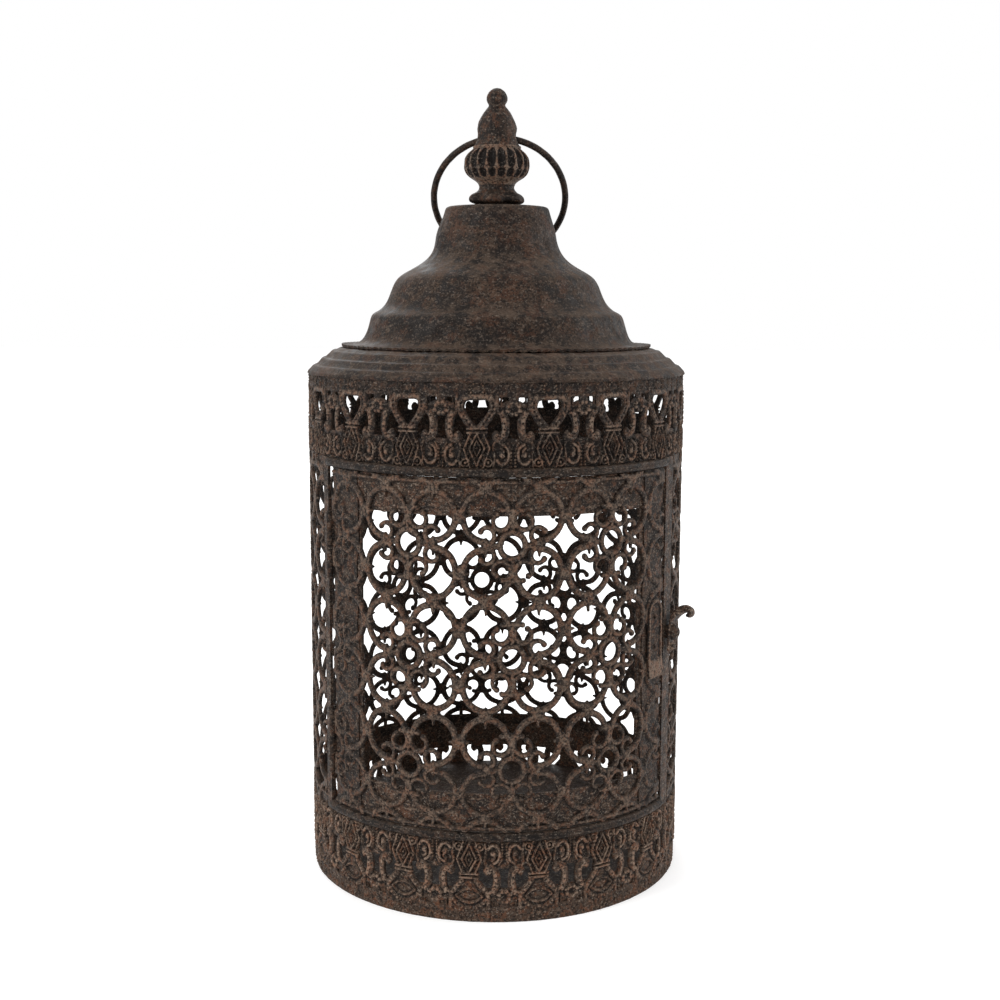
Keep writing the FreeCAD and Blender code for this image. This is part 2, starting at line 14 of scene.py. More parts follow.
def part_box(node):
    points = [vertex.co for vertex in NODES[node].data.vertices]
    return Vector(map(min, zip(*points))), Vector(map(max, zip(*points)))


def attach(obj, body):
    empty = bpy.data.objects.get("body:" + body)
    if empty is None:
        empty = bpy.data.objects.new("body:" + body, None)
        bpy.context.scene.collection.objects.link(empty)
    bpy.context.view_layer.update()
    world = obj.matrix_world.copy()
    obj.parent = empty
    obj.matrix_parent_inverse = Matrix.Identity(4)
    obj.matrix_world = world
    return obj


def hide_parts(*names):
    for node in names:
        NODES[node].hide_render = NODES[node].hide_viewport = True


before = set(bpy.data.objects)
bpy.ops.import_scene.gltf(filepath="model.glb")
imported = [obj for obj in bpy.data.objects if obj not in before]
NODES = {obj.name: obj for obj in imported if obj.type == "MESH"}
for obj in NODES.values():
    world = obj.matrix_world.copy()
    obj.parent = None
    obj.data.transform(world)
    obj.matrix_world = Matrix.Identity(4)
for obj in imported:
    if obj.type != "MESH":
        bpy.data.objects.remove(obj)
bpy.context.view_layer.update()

MM = 0.001

# ---- Sizes that the patterns need, in millimetres ----
DRUM_RADIUS = 80.0            # the walls' outside, and the radius on which the patterns are laid out
WALL_BACK = 78.8
RING_COLUMNS = 24
COLUMN_ZERO = 5.0             # azimuth of one line between two columns of rings
ROW_PITCH = 22.3
ROW_MIDDLE = 106.7            # height of the middle row of small rings
LOWEST_ROW_TOP = 61.9         # below this the pattern is squeezed
SQUEEZE = 1.16
FRIEZE_UNITS = 18
TOP_UNIT_ZERO = -5.0
BOTTOM_UNIT_ZERO = -7.0
FRIEZE_OUTSIDE = 80.5

HALF_PITCH = math.pi * DRUM_RADIUS / RING_COLUMNS      # from a line to the middle of a column
CELL_WIDTH = 2 * HALF_PITCH                            # from a line with small rings to the next plain line
UNIT_HALF = math.pi * DRUM_RADIUS / FRIEZE_UNITS
# Directions and phases of the slow waves that make things uneven; the third number drawn is left out.
WEAVE = np.random.default_rng(7).uniform(0, 2 * math.pi, (24, 3))[:, :2]
HOLLOW_SHADE_REACH = 1.3            # how far the surroundings count for the painted shade in a hollow
WELL_INSIDE = 1.6             # distance from the rim of the extra points in a back


# ---- Drawing in metal ----
def arc(centre, radius, start, end, steps=14, end_radius=None):
    """Points on an arc; with an end_radius the radius changes evenly, which makes a spiral."""
    last = radius if end_radius is None else end_radius
    share = np.linspace(0, 1, steps)
    angle = np.radians(start + (end - start) * share)
    reach = radius + (last - radius) * share
    return [(centre[0] + r * math.cos(a), centre[1] + r * math.sin(a)) for r, a in zip(reach, angle)]


class Stencil:
    """One repeat of a flat pattern, kept on a fine grid.

    metal is the distance inside the metal, negative in a hole.  relief is the height of the modelling, from
    about 0 to about 1, and less in a dent.
    """

    def __init__(self, left, bottom, right, top, step=0.1):
        self.left = left
        self.bottom = bottom
        self.step = step
        columns = int(round((right - left) / step)) + 1
        rows = int(round((top - bottom) / step)) + 1
        self.x, self.y = np.meshgrid(left + step * np.arange(columns), bottom + step * np.arange(rows))
        self.metal = np.full(self.x.shape, -9.0)
        self.relief = np.zeros(self.x.shape)

    def lay(self, inside, crest, fillet=0.5):
        """Add metal, with a small fillet where it meets what is there."""
        near = np.clip(1 - np.abs(self.metal - inside) / fillet, 0, 1)
        self.metal = np.maximum(self.metal, inside) + near ** 2 * fillet / 4
        self.relief = np.maximum(self.relief, crest)

    def stroke(self, points, width, level=1.0, groove=0.0, tip=None):
        """A band with a rounded top along a line.

        width is half its width, and tip its half width at the end.
        """
        tip = width if tip is None else tip
        count = max(len(points) - 1, 1)
        distance = np.full(self.x.shape, 99.0)
        half = np.full(self.x.shape, width)
        for index in range(count):
            (x0, y0), (x1, y1) = points[index], points[min(index + 1, len(points) - 1)]
            run, rise = x1 - x0, y1 - y0
            square = max(run * run + rise * rise, 1e-9)
            share = np.clip(((self.x - x0) * run + (self.y - y0) * rise) / square, 0, 1)
            away = np.hypot(self.x - x0 - share * run, self.y - y0 - share * rise)
            here = width + (tip - width) * (index + share) / count
            closer = away - here < distance - half
            distance = np.where(closer, away, distance)
            half = np.where(closer, here, half)
        round_top = np.sqrt(np.clip(1 - (distance / half) ** 2, 0, 1))
        crest = level * round_top - groove * np.exp(-(distance / (0.35 * half)) ** 2)
        self.lay(half - distance, crest)

    def disc(self, centre, radius, level=1.0):
        self.stroke([centre], radius, level)

    def beads(self, points, radius, level=1.0, spacing=None):
        """A row of small balls along a line, evenly spaced."""
        line = np.array(points, float)
        lengths = np.concatenate([[0], np.cumsum(np.hypot(*np.diff(line, axis=0).T))])
        count = max(int(lengths[-1] / (spacing or 2.3 * radius)), 1)
        for at in np.linspace(0, lengths[-1], count + 1):
            centre = (np.interp(at, lengths, line[:, 0]), np.interp(at, lengths, line[:, 1]))
            self.disc(centre, radius, level)

    def plate(self, inside, level=0.0):
        self.lay(inside, np.where(inside > 0, level, 0.0), fillet=0.05)

    def dent(self, centre, radius, depth=0.6):
        distance = np.hypot(self.x - centre[0], self.y - centre[1])
        self.relief -= depth * np.exp(-(distance / radius) ** 2)

    def sample(self, x, y):
        """(metal, relief) at any points inside the stencil."""
        column = np.clip((x - self.left) / self.step, 0, self.x.shape[1] - 1.001)
        row = np.clip((y - self.bottom) / self.step, 0, self.x.shape[0] - 1.001)
        i, j = column.astype(int), row.astype(int)
        s, t = column - i, row - j
        found = []
        for field in (self.metal, self.relief):
            low = field[j, i] * (1 - s) + field[j, i + 1] * s
            high = field[j + 1, i] * (1 - s) + field[j + 1, i + 1] * s
            found.append(low * (1 - t) + high * t)
        return found


def ring_stencil():
    """Right half of one repeat of the wall: a small ring at (0, 0), big ones about (p, p) and (p, -p).

    It is drawn on a square grid, and the panels stretch it to the pitch of the rows.
    """
    size = CELL_WIDTH
    p = HALF_PITCH
    s = Stencil(-1.5, -size - 1.5, size + 1.5, size + 1.5)
    s.stroke(arc((0, 0), 4.85, 0, 360, 40), 1.15, groove=0.12)
    for up in (1, -1):
        def at(points):
            return [(x, y * up) for x, y in points]
        s.stroke(at(arc((p, p), 9.1, -90, 168, 60)), 1.25, groove=0.16)
        s.stroke(at([(0, 5.8), (0, 12.8)]), 0.85, tip=1.25)
        s.stroke(at(arc((10.0, 3.7), 2.9, -100, -330, 24)), 1.0, level=0.95, tip=0.85)
        s.disc(at(arc((10.0, 3.7), 2.9, -330, -330, 1))[0], 1.15, 0.95)
        curl = at(arc((4.9, 9.2), 4.3, 156, 420, 30, end_radius=2.3))
        for side in (1, -1):
            s.stroke([(x * side, y) for x, y in curl], 1.0, level=0.95, tip=0.8)
            s.disc((curl[-1][0] * side, curl[-1][1]), 1.15, 0.95)
            bar = at([(0, 12.8), (4.1, 12.8)])
            s.stroke([(x * side, y) for x, y in bar], 0.75, level=1.0)
            s.disc((bar[1][0] * side, bar[1][1]), 0.95, 1.0)
        for side in (1, -1):
            spike = at([(size - side * 1.2, p), (size - side * 3.9, p)])
            s.stroke(spike, 0.85, level=0.85, tip=0.35)
            s.stroke(at([(size - side * 0.2, p - 1.6), (size - side * 0.2, p + 1.6)]), 1.2, level=0.9)
        s.stroke(at([(p - 1.6, size), (p + 1.6, size)]), 1.25, level=0.9)
        s.disc((p, 0.2 * up), 1.5, 0.92)
    s.stroke([(5.8, 0), (p, 0)], 1.1, groove=0.3)
    # the short spikes into the big rings
    for start, end, half, level in (
        (size - 1.2, size - 4.5, 1.0, 0.9), (1.2 - size, 2.9 - size, 0.9, 0.85),
        (-1.2, -3.9, 0.9, 0.85), (1.2, 2.6, 0.8, 0.85),
    ):
        s.stroke([(p, start), (p, end)], half, level, tip=0.4)
    return s


def band_stencil(pressed):
    """Right half of one unit of a band; y is the distance from its edge beside the door's beads.

    Under the diamond the pressed band has a sunk lens, and the pierced one a heart-shaped opening.
    """
    edge = UNIT_HALF
    s = Stencil(-0.5, -1.0, edge + 0.5, 37.0, step=0.08)
    s.plate(10.9 + 0.3 * np.cos(2 * math.pi * s.x / edge) - s.y)
    s.plate(np.minimum(np.minimum(s.y - 20.2, 23.9 - s.y), s.x - 7.0), level=0.15)
    s.plate(s.y - 26.9, level=0.3)
    # the diamond: a ridge, a row of beads, a smaller diamond and its eye
    s.stroke([(2.2, -0.6), (4.9, 7.5), (2.5, 13.1)], 0.45, level=0.95)
    for y, x in ((0.8, 1.6), (2.3, 2.15), (3.8, 2.75), (5.4, 3.35), (7.5, 3.95), (9.4, 3.3), (11.2, 2.4)):
        s.disc((x, y), 0.4, 0.75)
    s.stroke([(0, 1.0), (3.0, 7.5), (0, 13.0)], 0.5, level=0.9)
    s.stroke([(0, 4.5), (1.5, 7.5), (0, 10.5)], 0.35, level=0.8)
    s.disc((0, 7.5), 0.5, 0.8)
    s.plate(np.minimum(3.7 - s.x, np.minimum(15.8 - s.y, s.y - 9.0)), level=0.1)
    for y in (13.5, 15.0):
        s.stroke([(0, y), (3.7, y)], 0.52, level=1.0)
    # the ball in its ring, the comma and the twin rows of beads between two units
    s.stroke(arc((4.3, 2.1), 1.5, 0, 360, 24), 0.42, level=0.9)
    s.disc((4.3, 2.1), 0.75)
    s.stroke(smooth([(6.3, 0.6), (6.7, 4.4), (6.1, 8.0), (6.9, 10.0)]), 0.5, level=0.75)
    comma = [(7.6, 3.0), (9.1, 1.4), (11.3, 2.2), (12.2, 5.0), (11.6, 7.6), (9.8, 8.9)]
    s.stroke(smooth(comma), 0.72, level=0.95)
    s.disc((9.7, 4.9), 1.3)
    s.stroke(smooth([(9.7, 4.9), (10.3, 6.5), (9.2, 7.7)]), 0.6, level=0.85)
    s.beads([(edge - 0.85, 0.7), (edge - 0.85, 7.2)], 0.55, 0.9, spacing=1.3)
    s.stroke([(edge - 0.9, 7.2), (edge - 2.1, 9.4)], 0.5, level=0.8)
    # the scroll: a low moulding with a beaded ridge on its inner side
    moulding = [(9.9, 20.6), (10.9, 18.2), (11.1, 15.2), (10.6, 12.4)]
    moulding += [(9.2, 10.8), (7.6, 10.8), (6.7, 12.0), (7.3, 13.2)]
    s.stroke(smooth(moulding), 1.6, level=0.62, tip=1.0)
    ridge = smooth([(9.6, 20.4), (10.3, 18.0), (10.5, 15.2), (10.0, 12.8), (8.9, 11.8), (7.9, 12.2)])
    s.stroke(ridge, 1.15, level=1.05, tip=0.95)
    s.disc((7.9, 12.4), 1.25)
    for x, y in ridge[3::5]:
        s.dent((x, y), 0.36, 0.7)
    if pressed:
        # two straight arms, the lens between them and the beads that come back under it
        lens = 2.2 * (1 - s.x / 4.9 - ((s.y - 22.6) / 2.5) ** 2)
        field = np.minimum(np.minimum(27.2 - s.y, s.y - 15.6), np.minimum(1.5 + s.y - 15.6, 7.6) - s.x)
        s.plate(field, level=0.12)
        s.stroke([(2.9, 16.3), (7.5, 21.8)], 1.2, level=0.9)
        for share in np.linspace(0, 1, 5):
            s.dent((2.9 + 4.6 * share, 16.3 + 5.5 * share), 0.36, 0.6)
        s.stroke([(0, 19.7), (2.7, 20.4), (5.4, 22.6), (2.7, 24.8), (0, 25.5)], 0.45, level=0.8)
        back = [(7.3, 22.6), (5.8, 25.2), (3.0, 27.2)]
        s.stroke(back, 1.1, level=0.5)
        s.beads(back, 0.75, 0.95, spacing=1.35)
        # the lens is sunk, and the paint turns it black as painted shade
        s.relief -= 0.9 * np.clip(lens / 0.7, 0, 1)
    else:
        # the heart's frame with its dots, and the arch over it
        side = [(1.5, 15.4), (3.3, 17.4), (5.0, 19.8), (6.2, 22.4), (6.1, 24.6), (5.2, 26.8)]
        s.stroke(smooth(side), 1.5, level=0.9, groove=0.25)
        for x, y in smooth(side, 3)[2::2]:
            s.dent((x, y), 0.36, 0.6)
        s.stroke([(5.4, 26.4), (3.0, 27.0), (0, 26.9)], 1.25, level=0.85)
    # beads to the flower between two units, and the bars beside the small openings under the rim
    s.beads([(8.4, 20.9), (11.2, 21.8)], 0.72, 0.95, spacing=1.35)
    s.stroke([(7.7, 22.2), (7.6, 27.4)], 0.95, level=0.7)
    s.stroke([(9.2, 23.6), (9.3, 27.4)], 0.3, level=0.5)
    s.stroke([(9.6, 23.6), (11.6, 24.6)], 0.9, level=0.5)
    s.stroke([(edge, 24.0), (edge, 27.6)], 1.9, level=0.5)
    for petal in range(8):
        angle = math.pi * (petal + 0.5) / 4
        s.disc((edge + 2.2 * math.cos(angle), 22.7 + 2.2 * math.sin(angle)), 1.0, 1.0)
    s.disc((edge, 22.7), 1.5, 0.6)
    s.dent((edge, 22.7), 0.7, 0.8)
    # leaves pressed into the rim
    s.beads(arc((0, 29.9), 2.6, 0, 360, 28), 0.55, 0.9, spacing=1.25)
    s.disc((0, 29.9), 1.5, 0.65)
    s.stroke(arc((5.8, 30.6), 1.9, 0, 360, 20), 0.45, level=0.62)
    s.stroke(arc((10.3, 30.4), 1.6, 0, 360, 20), 0.4, level=0.55)
    for x in (3.4, 8.0, 12.5):
        s.beads([(x, 28.6), (x, 32.6)], 0.45, 0.7, spacing=1.2)
    return s


def smooth(points, steps=6):
    """A Catmull-Rom line through the points."""
    line = np.array([points[0], *points, points[-1]], float)
    found = []
    for index in range(1, len(line) - 2):
        before, start, end, after = line[index - 1:index + 3]
        for share in np.arange(steps) / steps:
            bend = (2 * before - 5 * start + 4 * end - after) * share ** 2
            twist = (3 * start - before - 3 * end + after) * share ** 3
            found.append(0.5 * (2 * start + (end - before) * share + bend + twist))
    found.append(line[-2])
    return [tuple(point) for point in found]


def waves(x, y, size, phase):
    """Slow, even-tempered unevenness between about -1 and 1, with humps about size across."""
    total = 0.0
    for index in range(4):
        direction, start = WEAVE[(phase + index) % len(WEAVE)]
        turn = direction + index
        along = x * math.cos(turn) + y * math.sin(turn)
        total = total + np.sin(along * math.tau / size * (0.7 + 0.2 * index) + start)
    return total / 2.6


def softened(field, reach):
    """The field averaged over a square of 2 * reach + 1 points each way."""
    for axis in (0, 1):
        pad = [(0, 0), (0, 0)]
        pad[axis] = (reach + 1, reach)
        total = np.cumsum(np.pad(field, pad, mode="edge"), axis=axis)
        far, near = (total[2 * reach + 1:], total[:-2 * reach - 1])
        if axis:
            far, near = (total[:, 2 * reach + 1:], total[:, :-2 * reach - 1])
        field = (far - near) / (2 * reach + 1)
    return field


# ---- Meshes ----
def new_object(name, vertices, faces, marks=None, smooth_angle=40):
    """A mesh from vertices in millimetres and lists of faces; arrays of equal faces are fine."""
    mesh = bpy.data.meshes.new(name)
    groups = [np.asarray(group) for group in faces if len(group)]
    loops = np.concatenate([group.ravel() for group in groups])
    sizes = np.concatenate([np.full(len(group), group.shape[1]) for group in groups])
    starts = np.concatenate([[0], np.cumsum(sizes)[:-1]])
    mesh.vertices.add(len(vertices))
    mesh.vertices.foreach_set("co", (np.asarray(vertices, float) * MM).ravel())
    mesh.loops.add(len(loops))
    mesh.loops.foreach_set("vertex_index", loops.astype(np.int32))
    mesh.polygons.add(len(sizes))
    mesh.polygons.foreach_set("loop_start", starts.astype(np.int32))
    mesh.polygons.foreach_set("loop_total", sizes.astype(np.int32))
    for mark, values in (marks or {}).items():
        layer = mesh.attributes.new(mark, "FLOAT", "POINT")
        layer.data.foreach_set("value", np.asarray(values, np.float32))
    mesh.update(calc_edges=True)
    mesh.validate()
    mesh.polygons.foreach_set("use_smooth", np.ones(len(mesh.polygons), bool))
    mesh.set_sharp_from_angle(angle=math.radians(smooth_angle))
    thing = bpy.data.objects.new(name, mesh)
    bpy.context.scene.collection.objects.link(thing)
    return thing


def dress(thing, body, slot, material, *nodes):
    """Put a piece on its body, in the place of CAD nodes, with its finish."""
    thing.data.materials.clear()
    thing.data.materials.append(material)
    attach(thing, body)
    if nodes:
        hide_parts(*nodes)
    return thing


# Faces of one square of the grid, by which of its corners are metal (1, 2, 4, 8 from the lower left,
# counter-clockwise).  0 to 3 are corners, 4 to 7 the cuts on the lower, right, upper and left edge.
SQUARES = {
    1: [[0, 4, 7]], 2: [[4, 1, 5]], 3: [[0, 1, 5, 7]], 4: [[5, 2, 6]], 5: [[0, 4, 7], [5, 2, 6]],
    6: [[4, 1, 2, 6]], 7: [[0, 1, 2, 6, 7]], 8: [[7, 6, 3]], 9: [[0, 4, 6, 3]], 10: [[4, 1, 5], [7, 6, 3]],
    11: [[0, 1, 5, 6, 3]], 12: [[7, 5, 2, 3]], 13: [[0, 4, 5, 2, 3]], 14: [[4, 1, 2, 3, 7]],
    15: [[0, 1, 2, 3]],
}
NUDGE = 0.12                  # a cut stays this share of a square away from its corners


def outline_mesh(inside):
    """Marching squares: (points as grid positions, faces by size, rim edges with metal on their left)."""
    rows, columns = inside.shape
    solid = inside > 0
    number = np.full((3, rows, columns), -1)
    points = []
    count = 0

    def take(kind, mask, x, y):
        nonlocal count
        j, i = np.nonzero(mask)
        number[kind, j, i] = count + np.arange(len(i))
        count += len(i)
        points.append(np.column_stack([x(j, i), y(j, i)]))

    take(0, solid, lambda j, i: i.astype(float), lambda j, i: j.astype(float))
    across = np.zeros_like(solid)
    across[:, :-1] = solid[:, :-1] != solid[:, 1:]
    upward = np.zeros_like(solid)
    upward[:-1, :] = solid[:-1, :] != solid[1:, :]

    def cut(j, i, dj, di):
        first, second = inside[j, i], inside[j + dj, i + di]
        return np.clip(first / (first - second), NUDGE, 1 - NUDGE)

    take(1, across, lambda j, i: i + cut(j, i, 0, 1), lambda j, i: j.astype(float))
    take(2, upward, lambda j, i: i.astype(float), lambda j, i: j + cut(j, i, 1, 0))

    code = solid[:-1, :-1] + 2 * solid[:-1, 1:] + 4 * solid[1:, 1:] + 8 * solid[1:, :-1]
    faces = {3: [], 4: [], 5: []}
    rims = []
    for case, shapes in SQUARES.items():
        j, i = np.nonzero(code == case)
        corner = [
            number[0, j, i], number[0, j, i + 1], number[0, j + 1, i + 1], number[0, j + 1, i],
            number[1, j, i], number[2, j, i + 1], number[1, j + 1, i], number[2, j, i],
        ]
        for shape in shapes:
            faces[len(shape)].append(np.column_stack([corner[k] for k in shape]))
            for k, following in zip(shape, shape[1:] + shape[:1]):
                if k > 3 and following > 3:
                    rims.append(np.column_stack([corner[k], corner[following]]))
    merged = {size: np.concatenate(group) for size, group in faces.items() if group}
    return np.concatenate(points), merged, np.concatenate(rims)


def back_faces(flat, rims, inside, spread):
    """Triangles that close the back: the rim's points and a few points well inside the metal."""
    rows, columns = inside.shape
    on_rim = np.unique(rims)
    j, i = np.mgrid[spread:rows - spread:spread, spread:columns - spread:spread]
    deep = inside[j, i] > WELL_INSIDE
    extra = np.column_stack([i[deep], j[deep]]).astype(float)
    place = {point: index for index, point in enumerate(on_rim)}
    coords = np.concatenate([flat[on_rim], extra])
    edges = [(place[a], place[b]) for a, b in rims.tolist()]
    result = delaunay_2d_cdt([Vector(point) for point in coords.tolist()], edges, [], 0, 1e-7, False)
    triangles = np.array(result[2])
    directed = set(edges)
    owner = {}
    for index, triangle in enumerate(triangles.tolist()):
        for a, b in zip(triangle, triangle[1:] + triangle[:1]):
            owner[(a, b)] = index
    state = np.zeros(len(triangles), int)
    queue = []
    for (a, b), index in owner.items():
        if (a, b) in directed:
            state[index] = 1
            queue.append(index)
        elif (b, a) in directed:
            state[index] = -1
            queue.append(index)
    while queue:
        index = queue.pop()
        a, b, c = triangles[index]
        for edge in ((a, b), (b, c), (c, a)):
            opposite = (edge[1], edge[0])
            beside = owner.get(opposite)
            if beside is None or edge in directed or opposite in directed:
                continue
            if state[beside] == 0:
                state[beside] = state[index]
                queue.append(beside)
    return on_rim, extra, triangles[state == 1]


def pierced_sheet(name, azimuths, heights, cell, pattern, back=WALL_BACK, spread=5):
    """A curved, pierced and embossed sheet.

    pattern(x, z) gives (metal, radius of the front, relief) for arc lengths x and heights z.
    """
    left, right = (math.radians(a) * DRUM_RADIUS for a in azimuths)
    low, high = heights
    columns, rows = int((right - left) / cell), int((high - low) / cell)
    step_x, step_z = (right - left) / columns, (high - low) / rows
    x = left + step_x * (np.arange(columns + 2) - 0.5)
    z = low + step_z * (np.arange(rows + 2) - 0.5)
    across, up = np.meshgrid(x, z)
    metal, front, relief = pattern(across, up)
    # the hollow field measures how far a point lies below its surroundings; the paint turns it into painted
    # shade
    around = softened(np.where(metal > -0.4, relief, 0.0), max(1, round(HOLLOW_SHADE_REACH / cell)))
    fields = {"relief": relief, "hollow_shade": around - relief}
    border = np.minimum(np.minimum(across - left, right - across), np.minimum(up - low, high - up))
    inside = np.minimum(metal, border)
    flat, faces, rims = outline_mesh(inside)
    on_rim, extra, triangles = back_faces(flat, rims, inside, spread)

    def place(points, radius):
        angle = (left + step_x * (points[:, 0] - 0.5)) / DRUM_RADIUS
        height = low + step_z * (points[:, 1] - 0.5)
        return np.column_stack([radius * np.sin(angle), -radius * np.cos(angle), height])

    def look_up(field, points):
        i, j = points[:, 0].astype(int), points[:, 1].astype(int)
        i, j = np.clip(i, 0, columns), np.clip(j, 0, rows)
        s, t = points[:, 0] - i, points[:, 1] - j
        low_side = field[j, i] * (1 - s) + field[j, i + 1] * s
        return low_side * (1 - t) + (field[j + 1, i] * (1 - s) + field[j + 1, i + 1] * s) * t

    radius = look_up(front, flat)
    front_points = place(flat, radius)
    back_flat = np.concatenate([flat[on_rim], extra])
    back_points = place(back_flat, np.full(len(back_flat), back))
    behind = np.full(len(flat), -1)
    behind[on_rim] = len(flat) + np.arange(len(on_rim))
    a, b = rims[:, 0], rims[:, 1]
    walls = np.column_stack([b, a, behind[a], behind[b]])
    closing = triangles[:, ::-1] + len(flat)
    marks = {}
    for mark, field in fields.items():
        marks[mark] = np.concatenate([look_up(field, flat), np.zeros(len(back_flat))])
    vertices = np.concatenate([front_points, back_points])
    return new_object(name, vertices, [*faces.values(), walls, closing], marks)


# ---- The walls and the door's skin ----
RINGS = ring_stencil()
PRESSED_BAND = band_stencil(True)
PIERCED_BAND = band_stencil(False)
LOW_RELIEF = 79.25            # radius of the front beside a hole
HIGH_RELIEF = 80.3


def ring_pattern(x, z):
    """Rings and scrolls at arc length x and height z."""
    x = x + 0.16 * waves(x, z, 31, 0) + 0.07 * waves(x, z, 9, 3)
    z = z + 0.16 * waves(x, z, 27, 6) + 0.07 * waves(x, z, 8, 9)
    z = np.where(z < LOWEST_ROW_TOP, LOWEST_ROW_TOP - (LOWEST_ROW_TOP - z) * SQUEEZE, z)
    line = math.radians(COLUMN_ZERO) * DRUM_RADIUS
    u = (x - line + CELL_WIDTH) % (2 * CELL_WIDTH) - CELL_WIDTH
    v = (z - ROW_MIDDLE + ROW_PITCH) % (2 * ROW_PITCH) - ROW_PITCH
    return RINGS.sample(np.abs(u), v * CELL_WIDTH / ROW_PITCH)


def bars(metal, relief, x, z, edges):
    """A line along the top and bottom of a pierced wall, tied to each ring."""
    line = math.radians(COLUMN_ZERO) * DRUM_RADIUS
    beside = np.abs((x - line) % CELL_WIDTH - HALF_PITCH)
    for edge, ring_edge in edges:
        middle, half = (edge + ring_edge) / 2, abs(edge - ring_edge) / 2
        tie = np.hypot(beside, np.maximum(np.abs(z - middle) - half, 0))
        for distance, width, level in ((np.abs(z - edge), 0.8, 0.9), (tie, 0.85, 0.95)):
            metal = np.maximum(metal, width - distance)
            relief = np.maximum(relief, level * np.sqrt(np.clip(1 - (distance / width) ** 2, 0, 1)))
    return metal, relief


def iron_front(relief, x, z, low=LOW_RELIEF, high=HIGH_RELIEF):
    """Radius of the front for a relief from 0 to 1, with the lumps of worn paint."""
    lumps = 0.05 * waves(x, z, 3.1, 12) + 0.04 * waves(x, z, 1.7, 15)
    return np.minimum(low + (high - low) * np.clip(relief, -0.2, 1) + lumps, high + 0.05)


def wall_pattern(x, z):
    metal, relief = ring_pattern(x, z)
    edges = ((WALL_LOW + 4.4, RINGS_LOW), (WALL_HIGH - 4.4, RINGS_HIGH))
    metal, relief = bars(metal, relief, x, z, edges)
    rim = np.maximum(WALL_LOW + 4.6 - z, z - WALL_HIGH + 5.8)
    metal = np.maximum(metal, rim)
    return metal, iron_front(relief, x, z), relief


def door_pattern(x, z):
    """The door's skin: pierced in the middle, and only embossed over its two stiles."""
    metal, relief = ring_pattern(x, z)
    edges = ((DOOR_LOW + 1.3, RINGS_LOW), (DOOR_HIGH - 1.6, RINGS_HIGH))
    metal, relief = bars(metal, relief, x, z, edges)
    azimuth = np.degrees(x / DRUM_RADIUS)
    soft = 0.6 * waves(x, z, 14, 2)
    stile = np.maximum(STILES[0] - 1.2 + soft - azimuth, azimuth - STILES[1] - 2.2 + soft) * 1.4
    relief = np.where(stile > 0, np.maximum(relief * 0.9, 0.06 + 0.06 * waves(x, z, 6, 5)), relief)
    metal = np.maximum(metal, stile)
    return metal, iron_front(relief, x, z), relief


def band_pattern(stencil, zero, door_edge, towards_door):
    """The pattern of a band whose diamonds start at azimuth zero."""
    def pattern(x, z):
        x = x + 0.12 * waves(x, z, 23, 4) + 0.05 * waves(x, z, 7, 8)
        y = (door_edge - z) * towards_door + 0.12 * waves(x, z, 25, 11)
        shift = math.radians(zero) * DRUM_RADIUS
        u = np.abs((x - shift + UNIT_HALF) % (2 * UNIT_HALF) - UNIT_HALF)
        metal, relief = stencil.sample(u, y)
        return metal, iron_front(relief, x, z, low=79.2, high=FRIEZE_OUTSIDE - 0.1), relief
    return pattern


def heights_of(node):
    low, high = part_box(node)
    return low.z / MM, high.z / MM


WALL_LOW, WALL_HIGH = heights_of("lattice_rear")
DOOR_LOW, DOOR_HIGH = heights_of("door_lattice")
RINGS_LOW = LOWEST_ROW_TOP - (LOWEST_ROW_TOP - ROW_MIDDLE + 3 * ROW_PITCH) / SQUEEZE
RINGS_HIGH = ROW_MIDDLE + 3 * ROW_PITCH
STILES = (-42.3, 46.8)        # azimuths of the inner edges of the door's stiles
SKIN_ENDS = (-55.4, 59.3)     # azimuths of the ends of the door's skin
BEAD_ENDS = (-57.9, 60.4)
BAND_SEAM = -62.9             # azimuth at which the two halves of a band meet


# ---- Turned and swept shapes ----
def lathe(name, outline, segments, shape=None, closed=False, smooth_angle=40):
    """Turn (radius, height) points, listed from the top down the outside, about the drum's axis.

    A closed outline goes round to its first point; an open one starts and ends on the axis.
    shape(angle, radius, height) returns the changed (radius, height), for flutes, lobes and dents.
    """
    angle = np.arange(segments) * math.tau / segments
    rings = outline if closed else outline[1:-1]
    vertices = []
    for radius, height in rings:
        r, z = np.full(segments, float(radius)), np.full(segments, float(height))
        if shape is not None:
            r, z = shape(angle, r, z)
        vertices.append(np.column_stack([r * np.sin(angle), -r * np.cos(angle), z]))
    count = len(rings)
    here = np.arange(segments)
    beside = (here + 1) % segments
    quads = []
    for ring in range(count if closed else count - 1):
        top, under = ring * segments, (ring + 1) % count * segments
        quads.append(np.column_stack([under + here, under + beside, top + beside, top + here]))
    faces = [np.concatenate(quads)]
    if not closed:
        poles = [[0, 0, outline[0][1]], [0, 0, outline[-1][1]]]
        first, last = count * segments, count * segments + 1
        bottom = (count - 1) * segments
        faces.append(np.column_stack([np.full(segments, first), here, beside]))
        faces.append(np.column_stack([np.full(segments, last), bottom + beside, bottom + here]))
        vertices.append(np.array(poles, float))
    return new_object(name, np.concatenate(vertices), faces, smooth_angle=smooth_angle)


def shell_outline(outside, thickness):
    """A closed outline: down the outside, and back up the inside at the thickness of the sheet."""
    line = np.array(outside, float)
    run = np.gradient(line, axis=0)
    run /= np.hypot(*run.T)[:, None]
    inside = line + thickness * np.column_stack([run[:, 1], -run[:, 0]])
    return [tuple(point) for point in line] + [tuple(point) for point in inside[::-1]]


